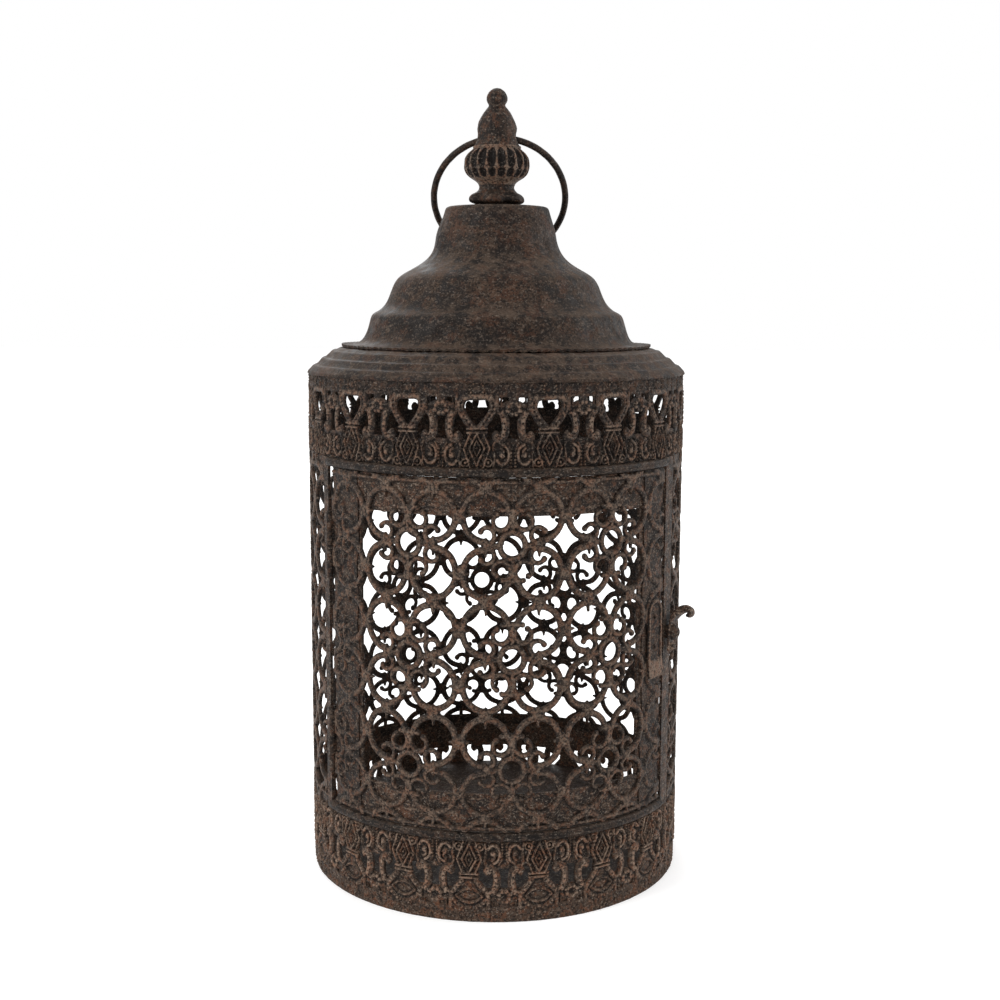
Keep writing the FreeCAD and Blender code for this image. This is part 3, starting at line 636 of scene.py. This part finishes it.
def sweep(name, path, sections, smooth_angle=45):
    """Join closed cross-sections (each an array of points in space) into one closed bar."""
    count, around = len(sections), len(sections[0])
    vertices = [np.asarray(section) for section in sections]
    here = np.arange(around)
    beside = (here + 1) % around
    quads = []
    for k in range(count - 1):
        first, second = k * around, (k + 1) * around
        quads.append(np.column_stack([first + here, first + beside, second + beside, second + here]))
    ends = [path[0], path[-1]]
    vertices.append(np.asarray(ends, float))
    start, finish = count * around, count * around + 1
    last = (count - 1) * around
    caps = [np.column_stack([np.full(around, start), beside, here]),
            np.column_stack([np.full(around, finish), last + here, last + beside])]
    faces = [np.concatenate(quads), *caps]
    return new_object(name, np.concatenate(vertices), faces, smooth_angle=smooth_angle)


def on_wall(radius, azimuth, height):
    angle = math.radians(azimuth)
    return np.array([radius * math.sin(angle), -radius * math.cos(angle), height])


def outward(azimuth):
    angle = math.radians(azimuth)
    return np.array([math.sin(angle), -math.cos(angle), 0.0])


def sideways(azimuth):
    angle = math.radians(azimuth)
    return np.array([math.cos(angle), math.sin(angle), 0.0])


# ---- Paint ----
class Paint:
    """Builds the nodes of one material; sizes are in millimetres."""

    def __init__(self, name):
        self.material = bpy.data.materials.new(name)
        self.material.use_nodes = True
        self.nodes = self.material.node_tree.nodes
        self.links = self.material.node_tree.links
        self.shader = self.nodes["Principled BSDF"]
        place = self.nodes.new("ShaderNodeTexCoord")
        scale = self.nodes.new("ShaderNodeMapping")
        scale.inputs["Scale"].default_value = (1 / MM, 1 / MM, 1 / MM)
        self.links.new(place.outputs["Object"], scale.inputs["Vector"])
        self.place = scale.outputs["Vector"]
        self.normal = self.nodes.new("ShaderNodeNewGeometry").outputs["Normal"]

    def link(self, value, socket):
        if isinstance(value, bpy.types.NodeSocket):
            self.links.new(value, socket)
        elif isinstance(value, (int, float)):
            socket.default_value = value
        else:
            socket.default_value = (*value, 1.0)

    def noise(self, size, detail=4.0, rough=0.6, twist=0.0, stretch=1.0):
        """Noise with patches about size across, and stretch times as long sideways as they are high."""
        node = self.nodes.new("ShaderNodeTexNoise")
        node.inputs["Scale"].default_value = 1 / size
        node.inputs["Detail"].default_value = detail
        node.inputs["Roughness"].default_value = rough
        node.inputs["Distortion"].default_value = twist
        place = self.place
        if stretch != 1.0:
            longer = self.nodes.new("ShaderNodeMapping")
            longer.inputs["Scale"].default_value = (1 / stretch, 1 / stretch, 1)
            self.links.new(place, longer.inputs["Vector"])
            place = longer.outputs["Vector"]
        self.links.new(place, node.inputs["Vector"])
        return node.outputs["Fac"]

    def sum(self, kind, first, second):
        node = self.nodes.new("ShaderNodeMath")
        node.operation = kind
        self.link(first, node.inputs[0])
        self.link(second, node.inputs[1])
        return node.outputs[0]

    def step(self, value, low, high, bottom=0.0, top=1.0):
        """A smooth change from bottom to top while value goes from low to high."""
        node = self.nodes.new("ShaderNodeMapRange")
        node.interpolation_type = "SMOOTHSTEP"
        self.link(value, node.inputs["Value"])
        for socket, number in (("From Min", low), ("From Max", high), ("To Min", bottom), ("To Max", top)):
            node.inputs[socket].default_value = number
        return node.outputs["Result"]

    def mix(self, share, under, over, kind="MIX"):
        node = self.nodes.new("ShaderNodeMix")
        node.data_type = "RGBA"
        node.blend_type = kind
        self.link(share, node.inputs["Factor"])
        self.link(under, node.inputs["A"])
        self.link(over, node.inputs["B"])
        return node.outputs["Result"]

    def attribute(self, name):
        node = self.nodes.new("ShaderNodeAttribute")
        node.attribute_name = name
        return node.outputs["Fac"]

    def upward(self):
        node = self.nodes.new("ShaderNodeSeparateXYZ")
        self.links.new(self.normal, node.inputs[0])
        return node.outputs["Z"]

    def bump(self, height, distance, strength=1.0):
        node = self.nodes.new("ShaderNodeBump")
        node.inputs["Distance"].default_value = distance * MM
        node.inputs["Strength"].default_value = strength
        self.links.new(height, node.inputs["Height"])
        self.links.new(node.outputs["Normal"], self.shader.inputs["Normal"])


def shade(share, colour):
    return tuple(share * part for part in colour)


def antiqued_iron(name, blotch=12.0, scuff=0.5, rusty=0.5, dusty=0.4, rubbed=0.0, crest=0.45, speckle=0.6,
                  roughness=(0.45, 0.75), pits=0.15, tone=1.0, drawn=1.0, worn=1.0, bare=0.0, darker_upward=0.0):
    """Old paint on iron: dark patches, rust, scuffs, gritty specks, dust on top, rubbed modelling, painted
    shade in hollows and dents, and darker upward faces where asked.
    """
    black, brown, tan, pale, rust = (shade(tone, colour) for colour in (BLACK, BROWN, TAN, PALE, RUST))
    p = Paint(name)
    broad = p.noise(blotch, 6, 0.7, stretch=drawn)
    mottle = p.noise(blotch * 0.26, 6, 0.72)
    grit = p.noise(0.9, 3, 0.65)
    streaks = p.noise(1.5, 5, 0.7, stretch=2.6)
    patches = p.sum("ADD", p.sum("MULTIPLY", broad, 0.6), p.sum("MULTIPLY", mottle, 0.4))
    colour = p.mix(p.step(patches, 0.46 - bare, 0.54 - bare), black, brown)
    chips = p.noise(blotch * 0.3, 7, 0.8, stretch=drawn)
    colour = p.mix(p.step(chips, 0.4 - bare, 0.47 - bare, 0.85, 0), colour, black)
    stains = p.noise(blotch * 0.5, 6, 0.68)
    colour = p.mix(p.step(stains, 0.5, 0.6, 0, rusty), colour, rust)
    colour = p.mix(p.step(streaks, 0.52, 0.66, 0, scuff), colour, tan)
    if rubbed:
        uneven = p.sum("MULTIPLY", p.sum("SUBTRACT", mottle, 0.5), 1.6)
        height = p.sum("ADD", p.attribute("relief"), uneven)
        orange = tuple(worn * (0.55 * a + 0.6 * b) for a, b in zip(tan, rust))
        warm = p.mix(p.step(stains, 0.42, 0.58), shade(worn, tan), orange)
        colour = p.mix(p.step(height, crest, crest + 0.5, 0, rubbed), colour, warm)
        # painted shade: black where the relief sinks below the plate, in dents, flute bottoms and the sunk
        # lens
        deep = p.step(p.attribute("relief"), -0.5, -0.1, 0.9, 0)
        colour = p.mix(deep, colour, black)
        # painted shade: darker where a point lies lower than its surroundings, in hollows and along raised
        # strokes
        sunk = p.step(p.attribute("hollow_shade"), 0.04, 0.24, 0, 0.92)
        colour = p.mix(sunk, colour, shade(0.45, black))
    colour = p.mix(p.step(grit, 0.4, 0.51, 0.85, 0), colour, shade(0.6, black))
    settled = p.sum("MULTIPLY", p.step(p.upward(), 0.3, 0.9), p.step(mottle, 0.42, 0.58, 0, dusty))
    colour = p.mix(settled, colour, tan)
    # darkens the faces that look up, such as the pan's floor
    if darker_upward:
        colour = p.mix(p.step(p.upward(), 0.5, 0.9, 0, darker_upward), colour, black)
    fine = p.noise(0.8, 4, 0.8, stretch=1.2)
    colour = p.mix(p.step(fine, 0.54, 0.68, 0, speckle), colour, pale)
    p.link(colour, p.shader.inputs["Base Color"])
    p.link(p.step(mottle, 0.35, 0.65, *roughness), p.shader.inputs["Roughness"])
    p.shader.inputs["Specular IOR Level"].default_value = 0.11
    lumps = p.sum("ADD", p.sum("MULTIPLY", mottle, 1.5), grit)
    p.bump(lumps, pits)
    return p.material


BLACK = (0.0095, 0.0066, 0.0055)
BROWN = (0.036, 0.0225, 0.0155)
TAN = (0.110, 0.077, 0.056)
PALE = (0.21, 0.17, 0.137)
RUST = (0.078, 0.031, 0.0155)

PIERCED = antiqued_iron("pierced_iron", blotch=7, rubbed=0.6, crest=0.6, scuff=0.45, tone=1.03, worn=1.5)
LOW_BAND = antiqued_iron("low_band_iron", blotch=8, rubbed=0.9, crest=0.55, scuff=0.45, rusty=0.75,
                         tone=1.35, worn=1.45, bare=0.07)
HIGH_BAND = antiqued_iron("high_band_iron", blotch=8, rubbed=0.85, crest=0.55, scuff=0.35, rusty=0.3,
                          worn=1.4)
PLAIN = antiqued_iron("plain_iron", blotch=8, scuff=0.75, speckle=0.8, tone=1.15)
ROOF = antiqued_iron("roof_iron", blotch=19, scuff=0.55, rusty=0.4, dusty=0.35, speckle=0.5,
                     tone=0.9, drawn=1.6)
FLOOR = antiqued_iron("floor_iron", blotch=12, scuff=0.6, dusty=0.2, tone=1.8, bare=0.1, darker_upward=0.8)
CAST = antiqued_iron("finial_iron", blotch=7, scuff=0.35, dusty=0.1, rubbed=0.85, crest=0.6, tone=0.95,
                     worn=1.4)
WIRE = antiqued_iron("ring_wire", blotch=7, scuff=0.25, rusty=0.3, speckle=0.3,
                     roughness=(0.35, 0.6), tone=0.8)
LATCH = antiqued_iron("latch_iron", blotch=5, scuff=0.85, rusty=0.3, tone=1.95)
STRIKE = antiqued_iron("strike_iron", blotch=4, scuff=0.4, rusty=0.7, rubbed=0.9, worn=1.25)
HINGE = antiqued_iron("hinge_iron", blotch=6, scuff=0.3, rusty=0.4)
FASTENER = antiqued_iron("fastener_iron", blotch=4, scuff=0.5, rusty=0.3, tone=1.2)
BEAD = antiqued_iron("bead_iron", blotch=9, scuff=0.7, rusty=0.25, speckle=1.0, tone=0.65,
                     roughness=(0.4, 0.65))


# ---- Walls, door skin and bands ----
def line_azimuth(line):
    return COLUMN_ZERO + 360 / RING_COLUMNS * line


def make_walls():
    walls = (
        ("lattice_left", (line_azimuth(-10), -61.0)),
        ("lattice_rear", (line_azimuth(9), line_azimuth(14))),
        ("lattice_right", (66.0, line_azimuth(9))),
    )
    for node, azimuths in walls:
        sheet = pierced_sheet(node + "_pierced", azimuths, (WALL_LOW, WALL_HIGH), 0.5, wall_pattern)
        dress(sheet, "drum", "pierced_iron", PIERCED, node)
    sheet = pierced_sheet("door_skin", SKIN_ENDS, (DOOR_LOW, DOOR_HIGH), 0.5, door_pattern)
    dress(sheet, "door", "pierced_iron", PIERCED, "door_lattice")


def make_bands():
    for node, stencil, zero, side, paint in (
        ("bottom_frieze", PRESSED_BAND, BOTTOM_UNIT_ZERO, 1, LOW_BAND),
        ("top_frieze", PIERCED_BAND, TOP_UNIT_ZERO, -1, HIGH_BAND),
    ):
        low, high = heights_of(node)
        edge = high if side > 0 else low
        pattern = band_pattern(stencil, zero, edge, side)
        halves = {"front": (BAND_SEAM, BAND_SEAM + 180), "rear": (BAND_SEAM - 180, BAND_SEAM)}
        for place, azimuths in halves.items():
            band = pierced_sheet(f"{node}_{place}", azimuths, (low, high), 0.36, pattern, spread=6)
            dress(band, "drum", "pierced_iron", paint, node)


# ---- The beads above and below the door ----
def make_beads():
    for node in ("door_sill", "door_lintel"):
        low, high = heights_of(node)
        middle, half = (low + high) / 2, (high - low) / 2
        sections = []
        path = []
        for azimuth in np.linspace(*BEAD_ENDS, 240):
            bend = 0.10 * float(waves(azimuth * 1.4, middle, 13, 3))
            face = [(WALL_BACK, low), (79.8, low)]
            face += [(80.0 + (1.2 + bend) * math.sin(a), middle - half * 0.92 * math.cos(a))
                     for a in np.linspace(0.12, math.pi - 0.12, 11)]
            face += [(79.8, high), (WALL_BACK, high)]
            sections.append(np.array([on_wall(r, azimuth, z) for r, z in face]))
            path.append(on_wall(80.0, azimuth, middle))
        bead = sweep(node + "_bead", path, sections, smooth_angle=50)
        dress(bead, "drum", "plain_iron", BEAD, node)


# ---- The roof ----
CAP_TOP = heights_of("roof_dome")[1]
FLANGE_TOP = CAP_TOP - 57.9
ROOF_SHEET = 0.9
CRIMPS = 104                  # along the edge of the dome's flange


def make_shoulder():
    """The sloping ring with three shallow steps, from the upper band to the dome's flange."""
    low = heights_of("roof_shoulder")[0]
    # radius, and depth under the top of the dome's flange
    steps = [
        (57.6, 1.05), (63.0, 1.05), (66.6, 1.5), (68.6, 2.3), (70.0, 2.6), (71.4, 3.9), (72.8, 5.2),
        (74.2, 5.6), (75.4, 6.9), (76.6, 8.1), (77.9, 8.6), (79.2, 9.9), (80.1, 10.9),
    ]
    outside = [(radius, FLANGE_TOP - depth) for radius, depth in steps] + [(80.4, low + 0.1)]
    line = smooth(outside, 5)

    def shape(angle, radius, height):
        uneven = radius + 0.12 * waves(angle * radius, height * 2, 26, 5)
        return uneven, height + 0.1 * waves(angle * 80, radius, 17, 9)

    shoulder = lathe("roof_shoulder_steps", shell_outline(line, ROOF_SHEET), 300, shape, closed=True)
    dress(shoulder, "drum", "roof_iron", ROOF, "roof_shoulder")


def make_dome():
    """Flat cap, flared neck and two rounded steps, ending in a flange with a crimped edge."""
    # radius, and depth under the top
    profile = [
        (2.05, 0.02), (8.0, 0.02), (15.0, 0.06), (19.6, 0.12), (21.3, 0.55), (22.1, 1.6), (22.9, 4.2),
        (24.2, 8.0), (25.3, 11.6), (26.2, 15.4), (27.3, 18.6), (29.2, 21.4), (32.0, 23.8), (35.6, 26.0),
        (39.2, 28.0), (41.8, 30.0), (43.4, 32.4), (44.6, 35.4), (45.8, 38.4), (47.2, 41.0), (49.4, 43.3),
        (52.2, 44.9), (53.5, 46.4), (54.5, 49.2), (55.8, 52.8), (57.3, 55.6), (59.2, 57.1), (61.6, 57.7),
        (65.7, 57.9),
    ]
    outside = [(radius, CAP_TOP - depth) for radius, depth in profile]
    line = smooth(outside, 3)

    def shape(angle, radius, height):
        across = angle * 45
        dents = 0.30 * waves(across, height, 34, 1) + 0.14 * waves(across, height, 13, 7)
        fade = np.clip((radius - 6) / 16, 0, 1)
        beat = np.sin(angle * CRIMPS) * (0.7 + 0.3 * np.sin(angle * 7) * np.sin(angle * 3.0))
        crimp = np.clip((radius - 62.5) / 2.5, 0, 1) * beat
        stiff = np.clip((66.5 - radius) / 6, 0.15, 1)
        return radius + dents * fade * stiff + crimp * 0.45 - 0.15, height + crimp * 0.35

    dome = lathe("roof_dome_spun", shell_outline(line, ROOF_SHEET), 4 * CRIMPS, shape, closed=True)
    dress(dome, "drum", "roof_iron", ROOF, "roof_dome")


# ---- The finial and the ring ----
FLUTES = 20
PETALS = 6
EYE_HEIGHT = 311.5
UPPER_SCOOPS = (298.3, 306.8)           # heights of the ends of the scoops above and below the widest part
LOWER_SCOOPS = (294.8, 298.4)


def cut_away(thing, cutter):
    """Take a closed shape out of a piece for good."""
    tool = thing.modifiers.new("cut", "BOOLEAN")
    tool.operation = "DIFFERENCE"
    tool.object = cutter
    tool.solver = "EXACT"
    bpy.context.view_layer.update()
    seen = thing.evaluated_get(bpy.context.evaluated_depsgraph_get())
    mesh = bpy.data.meshes.new_from_object(seen)
    thing.modifiers.clear()
    thing.data = mesh
    bpy.data.objects.remove(cutter)


def mark_flutes(finial, line):
    """Store how far each point lies under the smooth outline, for painted shade in the flutes and worn
    ridges.
    """
    place = np.empty(3 * len(finial.data.vertices))
    finial.data.vertices.foreach_get("co", place)
    x, y, z = place.reshape(-1, 3).T / MM
    radii, heights = np.array(line)[::-1].T
    belly = (z > 292) & (z < 308)
    depth = np.where(belly, np.interp(z, heights, radii) - np.hypot(x, y), 0)
    marks = {"hollow_shade": depth * 0.3, "relief": np.where(belly, 1 - 1.5 * depth, 0.35)}
    for mark, values in marks.items():
        layer = finial.data.attributes.new(mark, "FLOAT", "POINT")
        layer.data.foreach_set("value", values.astype(np.float32))


def make_finial():
    """A turned and fluted casting with a lobed foot, bored across for the ring."""
    outline = [
        (0, 332.0), (1.6, 331.6), (3.2, 330.4), (4.15, 328.8), (4.4, 327.4), (4.1, 326.2),
        (3.55, 325.2), (3.55, 324.4), (4.5, 323.2), (6.2, 321.0), (7.7, 317.8), (8.5, 314.4),
        (8.8, 311.6), (9.2, 309.4), (9.8, 308.2), (10.1, 307.5), (10.0, 307.0), (10.8, 306.3),
        (12.3, 305.0), (13.4, 303.2), (13.8, 301.0), (13.7, 298.8), (12.9, 296.8), (11.4, 295.2),
        (9.6, 294.0), (8.2, 292.9), (7.4, 291.4), (7.7, 290.0), (9.0, 288.9), (10.8, 287.9),
        (12.0, 286.7), (12.4, 285.5), (12.1, 284.6), (11.0, 284.0), (9.0, 283.5),
        (7.4, CAP_TOP + 0.05), (0, CAP_TOP + 0.02),
    ]
    inner = smooth(outline[1:-1], 7)
    line = [outline[0], *inner, outline[-1]]

    def scoop(angle, height, low, high):
        """How deep a row of scoops is: 1 in the middle of each, 0 on the ridges and past the ends."""
        across = ((angle * FLUTES / math.tau) % 1 - 0.5) / 0.41
        along = (height - (low + high) / 2) / ((high - low) / 2)
        return np.sqrt(np.clip(1 - across ** 2 - np.abs(along) ** 3, 0, 1))

    def shape(angle, radius, height):
        radius = radius - 1.7 * scoop(angle, height, *UPPER_SCOOPS)
        radius = radius - 1.3 * scoop(angle, height, *LOWER_SCOOPS)
        lobe = np.cos(PETALS * (angle + 0.14))
        foot = np.clip((289.6 - height) / 2.4, 0, 1) * np.clip((height - 283.3) / 0.4, 0, 1)
        radius = radius + foot * (1.1 * lobe - 1.1)
        worn = 0.10 * waves(angle * 9, height, 7, 10) + 0.06 * waves(angle * 9, height, 3, 13)
        raised = 0.45 * foot * (1 - np.exp(-(np.sin(angle / 2 + 0.07) / 0.26) ** 2))
        return radius + worn * np.clip(radius / 4 - 0.2, 0, 1), height + raised

    finial = lathe("finial_cast", line, 280, shape, smooth_angle=60)
    cutter = lathe("eye_cutter", [(0, 9.8), (4.0, 9.8), (2.1, 0), (4.0, -9.8), (0, -9.8)], 48)
    cutter.data.transform(Matrix.Rotation(math.radians(90), 4, "Y"))
    cutter.data.transform(Matrix.Translation((0, 0, EYE_HEIGHT * MM)))
    cut_away(finial, cutter)
    mark_flutes(finial, line)
    dress(finial, "drum", "finial_iron", CAST, "finial")


RING_RADIUS = 28.4
RING_LEAN = math.radians(32.2)
RING_TURN = math.radians(2.4)


def make_ring():
    """A ring of wire through the finial's eye, leaning towards the roof; its joint is not modelled."""
    up = np.array([0, -math.sin(RING_LEAN), math.cos(RING_LEAN)])
    side = np.array([1.0, 0, 0])
    to_eye = math.cos(RING_TURN) * up - math.sin(RING_TURN) * side
    middle = np.array([0, 0, EYE_HEIGHT]) - RING_RADIUS * to_eye
    normal = np.cross(side, up)
    turns, around = 240, 20
    vertices = []
    for turn in range(turns):
        a = math.tau * turn / turns
        away = math.sin(a) * side + math.cos(a) * up
        for corner in range(around):
            b = math.tau * corner / around
            thick = 1.4 + 0.045 * float(waves(a * RING_RADIUS, b * 1.4, 6, 4))
            reach = RING_RADIUS + thick * math.cos(b)
            vertices.append(middle + away * reach + normal * thick * math.sin(b))
    turn, corner = np.meshgrid(np.arange(turns), np.arange(around), indexing="ij")
    next_turn, next_corner = (turn + 1) % turns, (corner + 1) % around
    faces = np.stack([turn * around + corner, next_turn * around + corner,
                      next_turn * around + next_corner, turn * around + next_corner], -1).reshape(-1, 4)
    ring = new_object("hanging_ring_wire", np.array(vertices), [faces])
    dress(ring, "ring", "ring_wire", WIRE, "hanging_ring")


# ---- The latch ----
LATCH_AZIMUTH = 63.6
LATCH_HEIGHT = 107.9
LEVER_BACK = 81.3
LEVER_BORE = 1.61             # radius of the hole for the pivot
LEVER_LEAN = 16.0             # degrees by which the nose points towards the door
BOSS_DROP = 5.9               # from the pivot down to the boss
SQUARENESS = 0.55             # of the strip's cross-section: 1 is an ellipse, less is squarer


def make_lever():
    """A forged strip: a nose that hangs down, a round eye, and a thumb tab that curls outward."""
    stations = [
        # up, out of the middle line, half width, half thickness
        (-8.3, 0.6, 0.9, 0.4), (-7.6, 0.6, 2.2, 0.55), (-5.8, 0.6, 2.9, 0.6), (-3.0, 0.6, 3.3, 0.6),
        (0.0, 0.6, 4.1, 0.6), (2.6, 0.6, 4.0, 0.6), (4.8, 0.8, 3.6, 0.8), (6.8, 1.5, 3.3, 1.3),
        (8.5, 2.8, 2.9, 1.55), (9.7, 4.4, 2.8, 1.6), (10.2, 6.1, 2.7, 1.55), (9.8, 7.4, 2.6, 1.45),
        (8.9, 8.0, 2.6, 1.3), (8.0, 7.9, 2.5, 1.1), (7.4, 7.2, 2.4, 0.85), (7.5, 6.6, 2.1, 0.5),
    ]
    table = np.array(smooth([row[:2] for row in stations], 6))
    widths = np.array(smooth([row[2:] for row in stations], 6))
    run = np.gradient(table, axis=0)
    run /= np.hypot(*run.T)[:, None]
    lean = math.radians(LEVER_LEAN)
    out, level, plumb = outward(LATCH_AZIMUTH), sideways(LATCH_AZIMUTH), np.array([0, 0, 1.0])
    up = plumb * math.cos(lean) + level * math.sin(lean)
    across = level * math.cos(lean) - plumb * math.sin(lean)
    base = on_wall(LEVER_BACK, LATCH_AZIMUTH, LATCH_HEIGHT)
    sections, path = [], []
    for (rise, away), (wide, thick), (step_up, step_out) in zip(table, widths, run):
        middle = base + up * rise + out * away
        face = out * step_up - up * step_out
        section = []
        for corner in np.linspace(0, math.tau, 24, endpoint=False):
            c, s = math.cos(corner), math.sin(corner)
            wide_part = across * wide * math.copysign(abs(c) ** SQUARENESS, c)
            section.append(middle + wide_part + face * thick * math.copysign(abs(s) ** SQUARENESS, s))
        sections.append(np.array(section))
        path.append(middle)
    lever = sweep("latch_lever_forged", path, sections, smooth_angle=50)
    turn = Vector((0, 0, 1)).rotation_difference(Vector(out)).to_matrix().to_4x4()
    bore = lathe("lever_bore", [(0, 2), (LEVER_BORE, 2), (LEVER_BORE, -2), (0, -2)], 48)
    bore.data.transform(Matrix.Translation(Vector(base) * MM) @ turn)
    cut_away(lever, bore)
    dress(lever, "latch", "latch_iron", LATCH, "latch_lever")
    knob = [(0, 2.4), (0.8, 2.25), (1.4, 1.7), (1.75, 0.95), (1.8, 0.3), (0, 0.3)]
    boss = lathe("latch_lever_boss", knob, 40)
    seat = base + up * -BOSS_DROP + out * 0.6
    boss.data.transform(Matrix.Translation(Vector(seat) * MM) @ turn)
    dress(boss, "latch", "latch_iron", LATCH)


STRIKE_AZIMUTH = 54.5
STRIKE_HALF = 3.9             # degrees from its middle to its side
STRIKE_EXTRA = 3.0            # how far its arched top stands over the plate in the CAD
STRIKE_FOLD = 99.0            # height of the fold under which the lip bends out


def make_strike():
    """A plate with an arched top and a dished middle; its lower end is folded out as a lip."""
    low, high = heights_of("strike_plate")
    high = high + STRIKE_EXTRA
    half = math.radians(STRIKE_HALF) * DRUM_RADIUS

    def pattern(x, z):
        x = x - math.radians(STRIKE_AZIMUTH) * DRUM_RADIUS
        arch = half - np.hypot(x, np.maximum(z - (high - half), 0))
        tail = half - np.abs(x) - 0.25 * np.maximum(low + 3 - z, 0)
        metal = np.minimum(arch, tail)
        edge = np.clip(metal / 0.5, 0, 1) * np.clip((1.9 - metal) / 0.6, 0, 1)
        lip = 1 / (1 + np.exp((z - STRIKE_FOLD) / 0.35))
        front = 80.3 + 0.6 * np.maximum(edge, 0.9 * lip) + lip * (0.5 - 0.03 * (z - low))
        front = front + 0.06 * waves(x, z, 4, 3)
        return metal, front, np.clip(0.9 * edge + 0.9 * lip, 0, 1)

    spread = math.degrees((half + 0.4) / DRUM_RADIUS)
    azimuths = (STRIKE_AZIMUTH - spread, STRIKE_AZIMUTH + spread)
    plate = pierced_sheet("strike_plate_pressed", azimuths, (low, high), 0.25, pattern, back=80.0)
    dress(plate, "door", "latch_iron", STRIKE, "strike_plate")


# ---- Finishes of the CAD nodes that stay ----
KEPT = {
    "plain_iron": (PLAIN, ["left_jamb", "right_jamb", "door_top_rail", "door_bottom_rail",
                           "door_hinge_stile", "door_latch_stile"]),
    "floor_iron": (FLOOR, ["base_pan"]),
    "hinge_iron": (HINGE, ["lower_hinge_jamb_leaf", "lower_hinge_door_leaf", "lower_hinge_pin",
                           "upper_hinge_jamb_leaf", "upper_hinge_door_leaf", "upper_hinge_pin"]),
    "fastener_iron": (FASTENER, ["finial_stud", "finial_washer", "finial_nut", "jamb_rivets",
                                 "door_hinge_rivets", "strike_rivets", "latch_washer", "latch_pivot"]),
}


def finish_kept_nodes():
    for material, names in KEPT.values():
        for name in names:
            NODES[name].data.materials.clear()
            NODES[name].data.materials.append(material)


# ---- Studio ----
def make_studio():
    floor_mesh = bpy.data.meshes.new("studio_floor")
    reach = 6.0
    corners = [(-reach, -reach, 0), (reach, -reach, 0), (reach, reach, 0), (-reach, reach, 0)]
    floor_mesh.from_pydata(corners, [], [(0, 1, 2, 3)])
    floor = bpy.data.objects.new("studio_floor", floor_mesh)
    bpy.context.scene.collection.objects.link(floor)
    pale = Paint("studio_floor")
    cloud = pale.mix(pale.noise(400, 2), (0.86, 0.86, 0.86), (0.88, 0.88, 0.88))
    pale.link(cloud, pale.shader.inputs["Base Color"])
    pale.shader.inputs["Roughness"].default_value = 0.9
    pale.shader.inputs["Specular IOR Level"].default_value = 0.1
    pale.shader.inputs["Emission Color"].default_value = (1.0, 1.0, 1.0, 1.0)
    pale.shader.inputs["Emission Strength"].default_value = 0.25
    floor.data.materials.append(pale.material)

    world = bpy.data.worlds.new("studio")
    world.use_nodes = True
    back = world.node_tree.nodes["Background"]
    back.inputs["Color"].default_value = (1.0, 1.0, 1.0, 1.0)
    back.inputs["Strength"].default_value = 1.0
    bpy.context.scene.world = world

    for name, place, size, power in (
        ("key", (-1.3, -0.7, 1.0), 0.8, 14.0),
        ("fill", (1.3, 0.2, 0.8), 0.8, 8.0),
        ("back", (-0.3, 1.3, 1.1), 1.0, 8.0),
    ):
        lamp = bpy.data.lights.new(name, "AREA")
        lamp.size = size
        lamp.energy = power
        light = bpy.data.objects.new(name, lamp)
        light.location = place
        light.rotation_euler = (Vector((0, 0, 0.16)) - Vector(place)).to_track_quat("-Z", "Y").to_euler()
        bpy.context.scene.collection.objects.link(light)


CAMERA_PLACE = (0.0019, -0.62, 0.24575)
CAMERA_TILT = 0.141           # radians below level
CAMERA_ROLL = 0.004


def make_camera():
    data = bpy.data.cameras.new("camera")
    data.sensor_width = 36.0
    data.lens = 51.75
    data.clip_start = 0.01
    camera = bpy.data.objects.new("camera", data)
    tilt = Matrix.Rotation(math.pi / 2 - CAMERA_TILT, 4, "X") @ Matrix.Rotation(CAMERA_ROLL, 4, "Z")
    camera.matrix_world = Matrix.Translation(CAMERA_PLACE) @ tilt
    bpy.context.scene.collection.objects.link(camera)
    bpy.context.scene.camera = camera
    bpy.context.scene.view_settings.view_transform = "Standard"


make_camera()
make_studio()
make_walls()
make_bands()
make_beads()
make_shoulder()
make_dome()
make_finial()
make_ring()
make_lever()
make_strike()
finish_kept_nodes()
